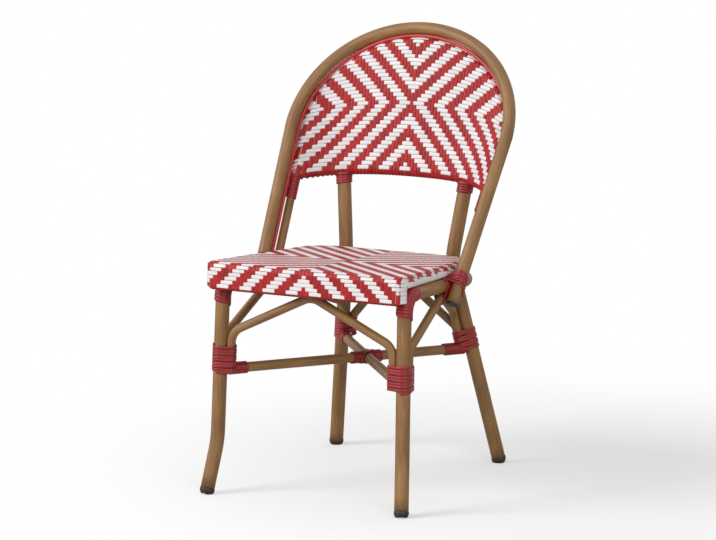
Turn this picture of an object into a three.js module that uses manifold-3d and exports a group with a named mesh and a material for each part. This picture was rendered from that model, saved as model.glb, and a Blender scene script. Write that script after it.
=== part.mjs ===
// A stacking bistro chair: bent round tube painted to look like cane, a woven seat and back, and red lashings.
// Millimetres, +Z up. The chair faces -Y, and x = 0 is its plane of symmetry.
import * as THREE from "three";
import { mergeVertices } from "three/addons/utils/BufferGeometryUtils.js";
import Module from "manifold-3d";

const wasm = await Module();
wasm.setup();

// Tube diameters and walls
const legTube = 28;
const hoopTube = 25;
const panelTube = 17;
const braceTube = 17;
const stretcherTube = 19.5;
const ringTube = 18;
const apronTube = 14;
const edgeCane = 8;
const legWall = 1.8;
const hoopWall = 1.6;
const railWall = 1.4;

// Clearances
const touchGap = 0.4;
const wrapGap = 0.9;
const cutOverrun = 4;

// Red strip of the lashings
const stripWide = 5.4;
const stripThick = 2.2;
const stripPitch = 6;

// Seat, in its own frame: across, back from the front edge, and up from the top
const seatFrontY = -257.5;
const seatFrontZ = 463.8;
const seatPitch = THREE.MathUtils.degToRad(3.5);
const seatFrontHalf = 215;
const seatRearHalf = 182;
const seatDepth = 409;
const seatBackY = seatFrontY + seatDepth;
const seatFrontRound = 18;
const seatRearRound = 80;
const weaveThick = 3;
const seatBand = 17.6;
const apronDrop = 54;
const apronReturn = 23;
const seatShoulder = 10;
const ringFrontBend = 22;
const ringJoint = 0.5;
const apronRailMargin = 37;
const apronRailHalf = seatFrontHalf - apronRailMargin;
const apronRailBend = 13;

// Front legs and side rails, one bent tube each
const elbowInset = 18.6;
const elbowX = seatFrontHalf - elbowInset;
const elbowBack = 47;
const elbowBend = 36;
const frontFootSplay = 16.2;
const frontFootSet = 0.1;
const frontFootX = elbowX + frontFootSplay;
const frontFootY = seatFrontY + frontFootSet;
const frontKneeSplay = 5;
const frontKneeSet = 26.9;
const frontKneeX = elbowX + frontKneeSplay;
const frontKneeY = seatFrontY + frontKneeSet;
const frontKneeZ = 105;
const frontKneeBend = 200;
const railCornerOut = 2.5;
const railCornerInset = 50;
const railCornerX = seatRearHalf + railCornerOut;
const railCornerBack = seatDepth - railCornerInset;
const railCornerBend = 80;

// Rear legs and posts, one bent tube each
const rearFootSplay = 4.4;
const rearFootSet = 101.6;
const rearFootX = seatRearHalf + rearFootSplay;
const rearFootY = seatBackY + rearFootSet;
const rearKinkInset = 64.6;
const rearKinkSet = 10.9;
const rearKinkBelowSeat = 44.8;
const rearKinkX = seatRearHalf - rearKinkInset;
const rearKinkY = seatBackY + rearKinkSet;
const rearKinkZ = seatFrontZ - rearKinkBelowSeat;
const rearKinkBend = 150;
const postInset = 44.5;
const postX = seatRearHalf - postInset;

// Foot plugs
const footHeight = 16;
const footLip = 0.7;
const footTaper = 2.2;
const plugDepth = 14;
const capThick = 4.5;

// Back hoop: lies in one leaning plane, with nearly straight sides and an elliptic top
const hoopBesideRail = 25.05;
const hoopEndInset = 190.1;
const hoopEndBelowSeat = 83.8;
const hoopEndX = (elbowX + railCornerX) / 2 + hoopBesideRail;
const hoopEndY = seatBackY - hoopEndInset;
const hoopEndZ = seatFrontZ - hoopEndBelowSeat;
const hoopLean = THREE.MathUtils.degToRad(32.87);
const hoopBesideSeat = 56.5;
const hoopHalfWidth = seatRearHalf + hoopBesideSeat;
const hoopSideRun = 359.2;
const hoopArchRise = 228.7;

// Woven back on its own frame, behind the hoop at the sides and under it at the top
const frameTurnSide = THREE.MathUtils.degToRad(54);
const frameTurnTop = THREE.MathUtils.degToRad(5);
const frameFootRun = 66;
const panelCornerRun = 255;
const panelRimWeave = 2.4;
const panelSheetThick = 4;
const bottomRailSet = 53.5;
const bottomRailAboveSeat = 128.2;
const bottomRailY = seatBackY + bottomRailSet;
const bottomRailZ = seatFrontZ + bottomRailAboveSeat;
const panelBowPower = 4;

// Braces and stretchers
const frontArmEndZ = 258.5;
const rearArmEndZ = 261;
const frontArmKneeBelowSeat = 143.2;
const sideArmFrontKneeBelowSeat = 150.8;
const sideArmRearKneeBelowSeat = 143.8;
const rearArmKneeBelowSeat = 176.8;
const frontArmKneeZ = seatFrontZ - frontArmKneeBelowSeat;
const sideArmFrontKneeZ = seatFrontZ - sideArmFrontKneeBelowSeat;
const sideArmRearKneeZ = seatFrontZ - sideArmRearKneeBelowSeat;
const rearArmKneeZ = seatFrontZ - rearArmKneeBelowSeat;
const armKneeBend = 34;
const rearArchKneeBend = 20;
const archPeakBend = 40;
const sidePeakSet = 24.5;
const sidePeakBack = (elbowBack + railCornerBack) / 2 + sidePeakSet;
const rearRailInset = 13;
const rearRailBack = seatDepth - rearRailInset;
const stretcherZ = 244;
const rearSideArmTurn = THREE.MathUtils.degToRad(-122);
const rearArchArmTurn = THREE.MathUtils.degToRad(-171);

// Counts of turns in the lashings
const frontLegTurns = 5;
const rearLegTurns = 2;
const stretcherTurns = 5;
const crossTurns = 3;
const elbowLegTurns = 2;
const elbowRailTurns = 1;
const hoopTurns = 4;
const postTurns = 3;
const frameTurns = 5;

// Faces round a tube and steps along its bends
const legFaces = 12;
const hoopFaces = 12;
const thinFaces = 10;
const panelFaces = 8;
const caneFaces = 6;
const boreFaces = 6;
const bendStep = THREE.MathUtils.degToRad(16);
const archSteps = 15;
const sheetColumns = 10;
const sheetRows = 8;
const sheetTopK = 1.88;
const loopSteps = 36;
const chordSag = 0.62;
const crossSteps = 6;

// Finishes
const finish = (color, roughness, metalness = 0) => new THREE.MeshStandardMaterial({ color, roughness, metalness });
const canePaint = finish("#9a7243", 0.42);
const redCane = finish("#a5292b", 0.5);
const wovenCane = finish("#c9686a", 0.55);
const blackPlastic = finish("#232327", 0.5);
const bareSteel = finish("#8c8f93", 0.4, 1);

const point = (x, y, z) => new THREE.Vector3(x, y, z);
const chair = new THREE.Group();

function add(name, geometry, material) {
  const mesh = new THREE.Mesh(geometry, material);
  mesh.name = name;
  chair.add(mesh);
  return mesh;
}

// A point of the seat's frame in the chair's frame.
function seatPoint(across, back, up) {
  const y = seatFrontY + back * Math.cos(seatPitch) + up * Math.sin(seatPitch);
  const z = seatFrontZ - back * Math.sin(seatPitch) + up * Math.cos(seatPitch);
  return point(across, y, z);
}

// A path that an extrusion follows station by station, so that straight runs cost one step.
// The outward directions, where given, steer the section; otherwise it is carried without twist.
class StationPath extends THREE.Curve {
  constructor(stations, outward = null) {
    super();
    this.stations = stations;
    this.outward = outward;
  }
  at(u) {
    return Math.round(u * (this.stations.length - 1));
  }
  getPoint(t) {
    return this.stations[this.at(t)].clone();
  }
  getPointAt(u) {
    return this.getPoint(u);
  }
  tangentOf(i) {
    const last = this.stations.length - 1;
    const before = this.stations[Math.max(i - 1, 0)];
    const here = this.stations[i];
    const after = this.stations[Math.min(i + 1, last)];
    const inward = here.clone().sub(before).normalize();
    const onward = after.clone().sub(here).normalize();
    return inward.add(onward).normalize();
  }
  computeFrenetFrames() {
    const tangents = this.stations.map((_, i) => this.tangentOf(i));
    const normals = [];
    tangents.forEach((tangent, i) => {
      const carried = i ? normals[i - 1] : point(1, 0, 0).cross(tangent).lengthSq() > 0.1 ? point(1, 0, 0) : point(0, 1, 0);
      const wanted = this.outward ? this.outward[i] : carried;
      normals.push(wanted.clone().addScaledVector(tangent, -wanted.dot(tangent)).normalize());
    });
    const binormals = tangents.map((tangent, i) => tangent.clone().cross(normals[i]));
    return { tangents, normals, binormals };
  }
}

// Points of a bent line: its corners, each rounded by an arc of its own radius.
function bentLine(corners, radii, step = bendStep) {
  const line = [corners[0].clone()];
  for (let i = 1; i < corners.length - 1; i++) {
    const inward = corners[i].clone().sub(corners[i - 1]).normalize();
    const onward = corners[i + 1].clone().sub(corners[i]).normalize();
    const turn = inward.angleTo(onward);
    const setback = radii[i - 1] * Math.tan(turn / 2);
    const from = corners[i].clone().addScaledVector(inward, -setback);
    const side = onward.clone().addScaledVector(inward, -onward.dot(inward)).normalize();
    const centre = from.clone().addScaledVector(side, radii[i - 1]);
    const count = Math.max(2, Math.ceil(turn / step));
    for (let k = 0; k <= count; k++) {
      const angle = (turn * k) / count;
      const arm = side.clone().multiplyScalar(-radii[i - 1] * Math.cos(angle));
      line.push(centre.clone().add(arm).addScaledVector(inward, radii[i - 1] * Math.sin(angle)));
    }
  }
  line.push(corners[corners.length - 1].clone());
  return line;
}

function roundSection(diameter, faces, wall = 0) {
  const ring = (radius, count) =>
    Array.from({ length: count }, (_, i) => {
      const angle = (2 * Math.PI * (i + 0.5)) / count;
      return new THREE.Vector2(radius * Math.cos(angle), radius * Math.sin(angle));
    });
  const section = new THREE.Shape(ring(diameter / 2, faces));
  if (wall) section.holes.push(new THREE.Path(ring(diameter / 2 - wall, boreFaces)));
  return section;
}

function alongStations(section, stations, outward = null) {
  const extrudePath = new StationPath(stations, outward);
  return new THREE.ExtrudeGeometry(section, { steps: stations.length - 1, extrudePath });
}

function tube(stations, diameter, faces, wall = 0) {
  return alongStations(roundSection(diameter, faces, wall), stations);
}

// A closed mesh as a solid that can be cut and joined, and back again.
function solid(geometry) {
  const bare = geometry.clone();
  bare.deleteAttribute("normal");
  bare.deleteAttribute("uv");
  const merged = mergeVertices(bare, 1e-3);
  const vertProperties = merged.attributes.position.array;
  const triVerts = new Uint32Array(merged.index.array);
  return new wasm.Manifold(new wasm.Mesh({ numProp: 3, vertProperties, triVerts }));
}

function shapeOf(body) {
  const mesh = body.getMesh();
  const geometry = new THREE.BufferGeometry();
  geometry.setAttribute("position", new THREE.BufferAttribute(new Float32Array(mesh.vertProperties), 3));
  geometry.setIndex(new THREE.BufferAttribute(new Uint32Array(mesh.triVerts), 1));
  geometry.computeVertexNormals();
  return geometry;
}

function minus(body, ...cutters) {
  return cutters.reduce((left, cutter) => left.subtract(cutter), body);
}

const onSide = (side, p) => point(side * p.x, p.y, p.z);
const lineOn = (side, line) => line.map((p) => onSide(side, p));
const sides = { left: -1, right: 1 };

// Where a straight line through two points is at a height.
function atHeight(from, to, z) {
  return from.clone().lerp(to, (z - from.z) / (to.z - from.z));
}

// Front legs: sabre foot, straight leg, elbow, side rail under the seat, and a turn in to the rear leg.
const railDrop = weaveThick + touchGap + ringTube + wrapGap + stripThick + touchGap + legTube / 2;
const floorUp = point(0, 0, 1);
const frontFoot = point(frontFootX, frontFootY, 0);
const frontKnee = point(frontKneeX, frontKneeY, frontKneeZ);
const elbow = seatPoint(elbowX, elbowBack, -railDrop);
const railCorner = seatPoint(railCornerX, railCornerBack, -railDrop);
const rearFoot = point(rearFootX, rearFootY, 0);
const rearKink = point(rearKinkX, rearKinkY, rearKinkZ);
const railEnd = atHeight(rearFoot, rearKink, railCorner.z - (railCorner.y - elbow.y) * 0.01);
const frontLegStart = atHeight(frontFoot, frontKnee, footHeight);
const frontLegLine = bentLine([frontLegStart, frontKnee, elbow, railCorner, railEnd], [frontKneeBend, elbowBend, railCornerBend]);
const frontLegAt = (z) => atHeight(frontKnee, elbow, z);
const legUp = elbow.clone().sub(frontKnee).normalize();
const railAlong = railCorner.clone().sub(elbow).normalize();
const railAt = (back) => elbow.clone().lerp(railCorner, (back - elbowBack) / (railCornerBack - elbowBack));

// The hoop's half outline: its straight side for k up to 1, then a quarter of the ellipse up to k = 2.
const hoopUp = point(0, Math.sin(hoopLean), Math.cos(hoopLean));
const hoopBack = point(0, Math.cos(hoopLean), -Math.sin(hoopLean));
const hoopEnd = point(hoopEndX, hoopEndY, hoopEndZ);

function hoopAt(k) {
  const quarter = Math.max(k - 1, 0) * (Math.PI / 2);
  const run = Math.min(k, 1) * hoopSideRun + hoopArchRise * Math.sin(quarter);
  const across = k < 1 ? hoopEndX + (hoopHalfWidth - hoopEndX) * k : hoopHalfWidth * Math.cos(quarter);
  return point(across, hoopEndY, hoopEndZ).addScaledVector(hoopUp, run);
}

function hoopInward(k) {
  if (k >= 2) return hoopUp.clone().negate();
  const step = 1e-3;
  const along = hoopAt(k + step / 2).sub(hoopAt(Math.max(k - step / 2, 0))).normalize();
  return along.cross(hoopBack).normalize();
}

// A line that keeps one distance from the hoop, turned from straight inward towards the back.
function besideHoop(k, distance) {
  const rise = Math.sin(Math.max(k - 1, 0) * (Math.PI / 2)) ** 2;
  const turn = frameTurnSide + (frameTurnTop - frameTurnSide) * rise;
  const inward = hoopInward(k).multiplyScalar(distance * Math.cos(turn));
  return hoopAt(k).add(inward).addScaledVector(hoopBack, distance * Math.sin(turn));
}

// Both halves of a hoop-like line, left end to right end.
function wholeArch(at, startK, steps = archSteps) {
  const straight = startK < 1 ? [startK] : [];
  const firstK = Math.max(startK, 1);
  const ks = Array.from({ length: steps + 1 }, (_, i) => firstK + ((2 - firstK) * i) / steps);
  const half = [...straight, ...ks].map(at);
  const left = lineOn(sides.left, half);
  return [...left, ...half.slice(0, -1).reverse()];
}

const rimRadius = panelTube / 2 + touchGap + panelRimWeave;
const caneDistance = hoopTube / 2 + touchGap + edgeCane / 2;
const frameDistance = hoopTube / 2 + touchGap + edgeCane + touchGap + rimRadius;
const frameAt = (k) => besideHoop(k, frameDistance);
const caneAt = (k) => besideHoop(k, caneDistance);
const cornerK = panelCornerRun / hoopSideRun;
const panelCorner = frameAt(cornerK);
const panelTop = frameAt(2);

// The surface between the frame's two sides that carries the woven back: each row bows back.
function panelAt(share, k) {
  const edge = frameAt(k);
  const rise = (edge.z - panelCorner.z) / (panelTop.z - panelCorner.z);
  const lift = (bottomRailZ - panelCorner.z) * (1 - rise) ** 2 * (1 - share ** 2);
  const z = edge.z + lift;
  const middleY = THREE.MathUtils.mapLinear(z, bottomRailZ, panelTop.z, bottomRailY, panelTop.y);
  const y = edge.y + (middleY - edge.y) * (1 - Math.abs(share) ** panelBowPower);
  return point(share * edge.x, y, z);
}

const bottomRailAt = (share) => panelAt(share, cornerK);
const postShare = postX / panelCorner.x;
const postHead = bottomRailAt(postShare);
const postUp = postHead.clone().sub(rearKink).normalize();
const postEnd = postHead.clone().addScaledVector(postUp, -(panelTube / 2 + touchGap));
const rearLegStart = atHeight(rearFoot, rearKink, footHeight);
const rearLegLine = bentLine([rearLegStart, rearKink, postEnd], [rearKinkBend]);
const rearLegUp = rearKink.clone().sub(rearFoot).normalize();
const rearLegAt = (z) => atHeight(rearFoot, rearKink, z);

// The space that a tube needs round it, for coping the ends of what meets it.
function roomFor(line, diameter, faces = legFaces) {
  return solid(tube(line, diameter + 2 * touchGap, faces));
}

const legRoom = {};
const rearLegRoom = {};
for (const [name, side] of Object.entries(sides)) {
  legRoom[name] = roomFor(lineOn(side, frontLegLine), legTube);
  rearLegRoom[name] = roomFor(lineOn(side, rearLegLine), legTube);
}

// Legs
for (const [name, side] of Object.entries(sides)) {
  const bentRail = solid(tube(lineOn(side, frontLegLine), legTube, legFaces, legWall));
  add(`front_leg_${name}`, shapeOf(minus(bentRail, rearLegRoom[name])), canePaint);
  add(`rear_leg_${name}`, tube(lineOn(side, rearLegLine), legTube, legFaces, legWall), canePaint);
}

// A spigot that fits the flat-sided bore of a tube
const spigotRadius = (diameter, wall) => (diameter / 2 - wall) * Math.cos(Math.PI / boreFaces) - touchGap;

// Foot plugs: turned about the leg's own line, and cut level on the floor.
function footPlug(foot, up) {
  const bore = spigotRadius(legTube, legWall);
  const rim = legTube / 2 + footLip;
  const shoulder = footHeight / up.z;
  const profile = [
    [0, -footHeight],
    [rim - footTaper, -footHeight],
    [rim - footTaper, footTaper],
    [rim, 2 * footTaper],
    [rim, shoulder - touchGap],
    [bore, shoulder - touchGap],
    [bore, shoulder + plugDepth],
    [0, shoulder + plugDepth],
  ].map(([r, h]) => new THREE.Vector2(r, h));
  const turned = new THREE.LatheGeometry(profile, legFaces);
  const upright = new THREE.Quaternion().setFromUnitVectors(point(0, 1, 0), up);
  turned.applyQuaternion(upright).translate(foot.x, foot.y, foot.z);
  const below = new THREE.BoxGeometry(legTube * 3, legTube * 3, legTube * 2).translate(foot.x, foot.y, -legTube);
  return shapeOf(minus(solid(turned), solid(below)));
}

const frontFootUp = frontKnee.clone().sub(frontFoot).normalize();
for (const [name, side] of Object.entries(sides)) {
  add(`foot_front_${name}`, footPlug(onSide(side, frontFoot), onSide(side, frontFootUp)), blackPlastic);
  add(`foot_rear_${name}`, footPlug(onSide(side, rearFoot), onSide(side, rearLegUp)), blackPlastic);
}

// Back hoop and the black plugs in its open ends
const hoopLine = wholeArch(hoopAt, 0);
add("back_hoop", tube(hoopLine, hoopTube, hoopFaces, hoopWall), canePaint);

function hoopCap(side) {
  const bore = spigotRadius(hoopTube, hoopWall);
  const rim = hoopTube / 2;
  const profile = [
    [0, -capThick - touchGap],
    [rim - footLip, -capThick - touchGap],
    [rim, -capThick],
    [rim, -touchGap],
    [bore, -touchGap],
    [bore, plugDepth],
    [0, plugDepth],
  ].map(([r, h]) => new THREE.Vector2(r, h));
  const cap = new THREE.LatheGeometry(profile, hoopFaces);
  const end = onSide(side, hoopAt(0));
  const up = onSide(side, hoopAt(1)).sub(end).normalize();
  cap.applyQuaternion(new THREE.Quaternion().setFromUnitVectors(point(0, 1, 0), up));
  return cap.translate(end.x, end.y, end.z);
}
for (const [name, side] of Object.entries(sides)) add(`hoop_cap_${name}`, hoopCap(side), blackPlastic);

// Panel frame, its bottom rail and the thin cane in the groove beside the hoop
const frameFootK = frameFootRun / hoopSideRun;
const frameLine = wholeArch(frameAt, frameFootK);
const frameTube = solid(tube(frameLine, panelTube, panelFaces));
add("back_panel_frame", shapeOf(minus(frameTube, legRoom.left, legRoom.right)), canePaint);
add("back_edge_cane", tube(wholeArch(caneAt, 0), edgeCane, caneFaces), redCane);

const railShares = [-1, -0.92, -0.82, -0.7, -0.55, -0.3, 0, 0.3, 0.55, 0.7, 0.82, 0.92, 1];
const bottomRailLine = railShares.map(bottomRailAt);
const frameRoom = roomFor(frameLine, panelTube / Math.cos(Math.PI / panelFaces), panelFaces);
const bottomRail = solid(tube(bottomRailLine, panelTube, panelFaces));
add("back_bottom_rail", shapeOf(minus(bottomRail, frameRoom)), canePaint);

// Woven back: a bowed sheet, flush with the front of the sleeves that are woven round the frame and the bottom rail.
const sheetForward = rimRadius - panelSheetThick / 2;

function panelSheet(columns, rows) {
  const front = [];
  const back = [];
  for (let j = 0; j <= rows; j++) {
    const k = cornerK + ((sheetTopK - cornerK) * j) / rows;
    for (let i = 0; i <= columns; i++) {
      const share = (2 * i) / columns - 1;
      const here = panelAt(share, k);
      const across = panelAt(Math.min(share + 0.01, 1), k).sub(panelAt(Math.max(share - 0.01, -1), k));
      const upward = panelAt(share, k + 0.01).sub(panelAt(share, k - 0.01));
      const facing = across.cross(upward).normalize();
      front.push(here.clone().addScaledVector(facing, sheetForward + panelSheetThick / 2));
      back.push(here.clone().addScaledVector(facing, sheetForward - panelSheetThick / 2));
    }
  }
  const wide = columns + 1;
  const faces = [];
  const quad = (a, b, c, d) => faces.push(a, b, c, a, c, d);
  const behind = front.length;
  for (let j = 0; j < rows; j++)
    for (let i = 0; i < columns; i++) {
      const a = j * wide + i;
      quad(a, a + 1, a + wide + 1, a + wide);
      quad(behind + a, behind + a + wide, behind + a + wide + 1, behind + a + 1);
    }
  for (let i = 0; i < columns; i++) {
    const top = rows * wide + i;
    quad(i + 1, i, behind + i, behind + i + 1);
    quad(top, top + 1, behind + top + 1, behind + top);
  }
  for (let j = 0; j < rows; j++) {
    const left = j * wide;
    const right = left + columns;
    quad(left, left + wide, behind + left + wide, behind + left);
    quad(right + wide, right, behind + right, behind + right + wide);
  }
  const geometry = new THREE.BufferGeometry().setFromPoints([...front, ...back]);
  geometry.setIndex(faces);
  return geometry;
}

const rimFootK = cornerK - (1.2 * rimRadius) / hoopSideRun;
const rimLine = wholeArch(frameAt, rimFootK);
const panelBody = solid(panelSheet(sheetColumns, sheetRows))
  .add(solid(tube(rimLine, 2 * rimRadius, panelFaces)))
  .add(solid(tube(bottomRailLine, 2 * rimRadius, panelFaces)));
const postRoom = Object.values(sides).map((side) => {
  const low = postHead.clone().addScaledVector(postUp, -4 * rimRadius);
  return roomFor(lineOn(side, [low, postHead]), legTube);
});
const railRoom = roomFor(bottomRailLine, panelTube, panelFaces);
add("woven_back", shapeOf(minus(panelBody, frameRoom, railRoom, ...postRoom)), wovenCane);

// Seat outline at a distance inside the woven edge: front corners, then the rounded rear corners.
function seatOutline(inset, front = seatFrontRound - inset) {
  const corners = [
    [0, inset],
    [seatFrontHalf - inset, inset],
    [seatRearHalf - inset, seatDepth - inset],
    [-(seatRearHalf - inset), seatDepth - inset],
    [-(seatFrontHalf - inset), inset],
    [0, inset],
  ].map(([x, y]) => point(x, y, 0));
  const rear = seatRearRound - inset;
  return bentLine(corners, [front, rear, rear, front]);
}

function seatBlock(inset, top, bottom, shoulder) {
  const outline = seatOutline(inset).slice(0, -1);
  const shape = new THREE.Shape(outline.map((p) => new THREE.Vector2(p.x, p.y)));
  const block = new THREE.ExtrudeGeometry(shape, {
    depth: top - bottom - 2 * shoulder,
    bevelThickness: shoulder,
    bevelSize: shoulder,
    bevelOffset: -shoulder,
    bevelSegments: 3,
  });
  return solid(block.translate(0, 0, bottom + shoulder));
}

const boxBetween = (low, high) => {
  const size = high.clone().sub(low);
  const middle = low.clone().add(high).multiplyScalar(0.5);
  return solid(new THREE.BoxGeometry(size.x, size.y, size.z).translate(middle.x, middle.y, middle.z));
};

const deep = apronDrop + 2 * seatShoulder;
const wide = seatFrontHalf + cutOverrun;
const skirtCut = boxBetween(point(-wide, apronReturn, -2 * deep), point(wide, seatDepth + cutOverrun, -seatBand));
const hemCut = boxBetween(point(-wide, -cutOverrun, -2 * deep), point(wide, seatDepth + cutOverrun, -apronDrop));
const seatHollow = seatBlock(weaveThick, -weaveThick, -deep - cutOverrun, seatShoulder - weaveThick);
const seatShell = minus(seatBlock(0, 0, -deep, seatShoulder), seatHollow, skirtCut, hemCut);

const seatGroup = new THREE.Group();
seatGroup.position.set(0, seatFrontY, seatFrontZ);
seatGroup.rotation.x = -seatPitch;
chair.add(seatGroup);

function addToSeat(name, geometry, material) {
  seatGroup.add(add(name, geometry, material));
}
addToSeat("woven_seat", shapeOf(seatShell), wovenCane);

// Seat ring: one tube bent to the outline, its two ends meeting behind with a fine joint.
const ringInset = weaveThick + touchGap + ringTube / 2;
function ringLine() {
  const outline = seatOutline(ringInset, ringFrontBend);
  const rear = outline.findIndex((p) => p.x < 0);
  const turned = [...outline.slice(rear, -1), ...outline.slice(0, rear)];
  const joint = (side) => point((side * ringJoint) / 2, seatDepth - ringInset, 0);
  return [joint(-1), ...turned, joint(1)].map((p) => p.setZ(-ringInset));
}
addToSeat("seat_ring", tube(ringLine(), ringTube, panelFaces), canePaint);

const apronInset = weaveThick + touchGap + apronTube / 2;
const apronTop = -(ringInset + ringTube / 2 + touchGap);
const apronLow = -(apronDrop - apronInset);
const apronCorners = [
  point(-apronRailHalf, ringInset, apronTop),
  point(-apronRailHalf, apronInset, apronLow),
  point(apronRailHalf, apronInset, apronLow),
  point(apronRailHalf, ringInset, apronTop),
];
addToSeat("apron_rail", tube(bentLine(apronCorners, [apronRailBend, apronRailBend]), apronTube, thinFaces), canePaint);

// Cross rails under the seat: the front one between the elbows, the rear one between the side rails.
const restRadius = stretcherTube / 2;
const elbowTurn = legUp.angleTo(railAlong);
const elbowInside = railAlong.clone().sub(legUp).normalize();
const elbowMiddle = elbow.clone().addScaledVector(elbowInside, elbowBend * (1 / Math.cos(elbowTurn / 2) - 1));
const rearRailDrop = ringInset + ringTube / 2 + touchGap + restRadius;

function crossRail(end) {
  const bar = solid(tube([onSide(sides.left, end), end], stretcherTube, thinFaces, railWall));
  return minus(bar, legRoom.left, legRoom.right);
}
add("front_seat_rail", shapeOf(crossRail(elbowMiddle)), canePaint);
const rearReach = railCornerX - (rearRailBack - railCornerBack) - legTube / 4;
const rearRailEnd = seatPoint(rearReach, rearRailBack, -rearRailDrop);
add("rear_seat_rail", shapeOf(crossRail(rearRailEnd)), canePaint);

// Braces: each end runs down beside a leg, and each arch touches a rail from below.
const armOut = (legTube + braceTube) / 2 + touchGap;
const beside = (legPoint, turn) => legPoint.clone().add(point(Math.cos(turn), Math.sin(turn), 0).multiplyScalar(armOut));
const inwardTurn = Math.PI;
const rearwardTurn = Math.PI / 2;
const underRail = restRadius + touchGap + braceTube / 2;

function archPeakLift(from, peak, to, bend) {
  const turn = peak.clone().sub(from).angleTo(to.clone().sub(peak));
  return bend * (1 / Math.cos(turn / 2) - 1);
}

const frontArmLow = beside(frontLegAt(frontArmEndZ), inwardTurn);
const frontArmKnee = beside(frontLegAt(frontArmKneeZ), inwardTurn);
const frontPeakY = frontArmKnee.y;
const frontPeakFall = Math.sqrt(underRail ** 2 - (elbowMiddle.y - frontPeakY) ** 2);
const frontPeak = point(0, frontPeakY, elbowMiddle.z - frontPeakFall);
const otherKnee = onSide(-1, frontArmKnee);
frontPeak.z += archPeakLift(frontArmKnee, frontPeak, otherKnee, archPeakBend);
const frontArch = [frontArmLow, frontArmKnee, frontPeak, otherKnee, onSide(-1, frontArmLow)];
const archBends = [armKneeBend, archPeakBend, armKneeBend];
add("front_arch_brace", tube(bentLine(frontArch, archBends), braceTube, thinFaces), canePaint);

const rearArmLow = beside(rearLegAt(rearArmEndZ), rearArchArmTurn);
const rearArmKnee = beside(rearLegAt(rearArmKneeZ), rearArchArmTurn);
const rearPeak = seatPoint(0, rearRailBack, -rearRailDrop).add(point(0, 0, -underRail));
rearPeak.z += archPeakLift(rearArmKnee, rearPeak, onSide(-1, rearArmKnee), archPeakBend);
const rearArch = [rearArmLow, rearArmKnee, rearPeak, onSide(-1, rearArmKnee), onSide(-1, rearArmLow)];
const rearBends = [rearArchKneeBend, archPeakBend, rearArchKneeBend];
add("rear_arch_brace", tube(bentLine(rearArch, rearBends), braceTube, thinFaces), canePaint);

const sideArmFrontLow = beside(frontLegAt(frontArmEndZ), rearwardTurn);
const sideArmFrontKnee = beside(frontLegAt(sideArmFrontKneeZ), rearwardTurn);
const sideArmRearLow = beside(rearLegAt(rearArmEndZ), rearSideArmTurn);
const sideArmRearKnee = beside(rearLegAt(sideArmRearKneeZ), rearSideArmTurn);
const sideTop = railAt(sidePeakBack).add(point(0, 0, -armOut));
const sidePeak = sideTop.clone();
sidePeak.z += archPeakLift(sideArmFrontKnee, sidePeak, sideArmRearKnee, archPeakBend);
const sideArch = [sideArmFrontLow, sideArmFrontKnee, sidePeak, sideArmRearKnee, sideArmRearLow];
for (const [name, side] of Object.entries(sides)) {
  const line = bentLine(lineOn(side, sideArch), archBends);
  add(`${name}_arch_brace`, tube(line, braceTube, thinFaces), canePaint);
}

// Crossed stretchers: one runs whole from the front left leg to the rear right leg, the other is in two halves.
const stretcherFront = frontLegAt(stretcherZ);
const stretcherRear = rearLegAt(stretcherZ);
const longFrom = onSide(sides.left, stretcherFront);
const longTo = stretcherRear;
const crossing = longFrom.clone().lerp(longTo, -longFrom.x / (longTo.x - longFrom.x));
const longBar = solid(tube([longFrom, longTo], stretcherTube, thinFaces, railWall));
const longRoom = roomFor([longFrom, longTo], stretcherTube, thinFaces);
add("stretcher_long", shapeOf(minus(longBar, legRoom.left, rearLegRoom.right)), canePaint);
const frontHalf = solid(tube([stretcherFront, crossing], stretcherTube, thinFaces, railWall));
add("stretcher_front_half", shapeOf(minus(frontHalf, legRoom.right, longRoom)), canePaint);
const rearStart = onSide(sides.left, stretcherRear);
const rearHalf = solid(tube([rearStart, crossing], stretcherTube, thinFaces, railWall));
add("stretcher_rear_half", shapeOf(minus(rearHalf, rearLegRoom.left, longRoom)), canePaint);

// Lashings. A winding is a list of places for the strip: where its middle runs, and which way is outward.
const stripSection = new THREE.Shape(
  [
    [-1, -1],
    [1, -1],
    [1, 1],
    [-1, 1],
  ].map(([a, b]) => new THREE.Vector2((a * stripThick) / 2, (b * stripWide) / 2)),
);

// The gap between neighbouring turns, measured on the full path.
function leastGap(places) {
  let least = Infinity;
  places.forEach((a, i) => {
    for (let j = i + loopSteps / 2; j < Math.min(places.length, i + 2 * loopSteps); j++) {
      least = Math.min(least, a.at.distanceTo(places[j].at) - stripWide);
    }
  });
  return least;
}

// Fewest stations that keep the strip within a small sag of its full path.
function thinned(places) {
  const chord = new THREE.Line3();
  const nearest = point(0, 0, 0);
  const kept = [places[0]];
  let from = 0;
  while (from < places.length - 1) {
    let to = from + 1;
    const sags = (end) => {
      chord.set(places[from].at, places[end].at);
      return places.slice(from + 1, end).some(({ at }) => chord.closestPointToPoint(at, true, nearest).distanceTo(at) > chordSag);
    };
    while (to < places.length - 1 && !sags(to + 1)) to++;
    kept.push(places[to]);
    from = to;
  }
  return kept;
}

let narrowest = Infinity;
function addWinding(name, path) {
  narrowest = Math.min(narrowest, leastGap(path));
  const places = thinned(path);
  const ahead = (place, along) => ({ at: place.at.clone().addScaledVector(along, stripThick), out: place.out });
  const first = path[0].at.clone().sub(path[1].at).normalize();
  const final = path[path.length - 1].at.clone().sub(path[path.length - 2].at).normalize();
  const all = [ahead(places[0], first), ...places, ahead(places[places.length - 1], final)];
  const stations = all.map((place) => place.at);
  const outward = all.map((place) => place.out);
  add(name, alongStations(stripSection, stations, outward), redCane);
}

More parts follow.
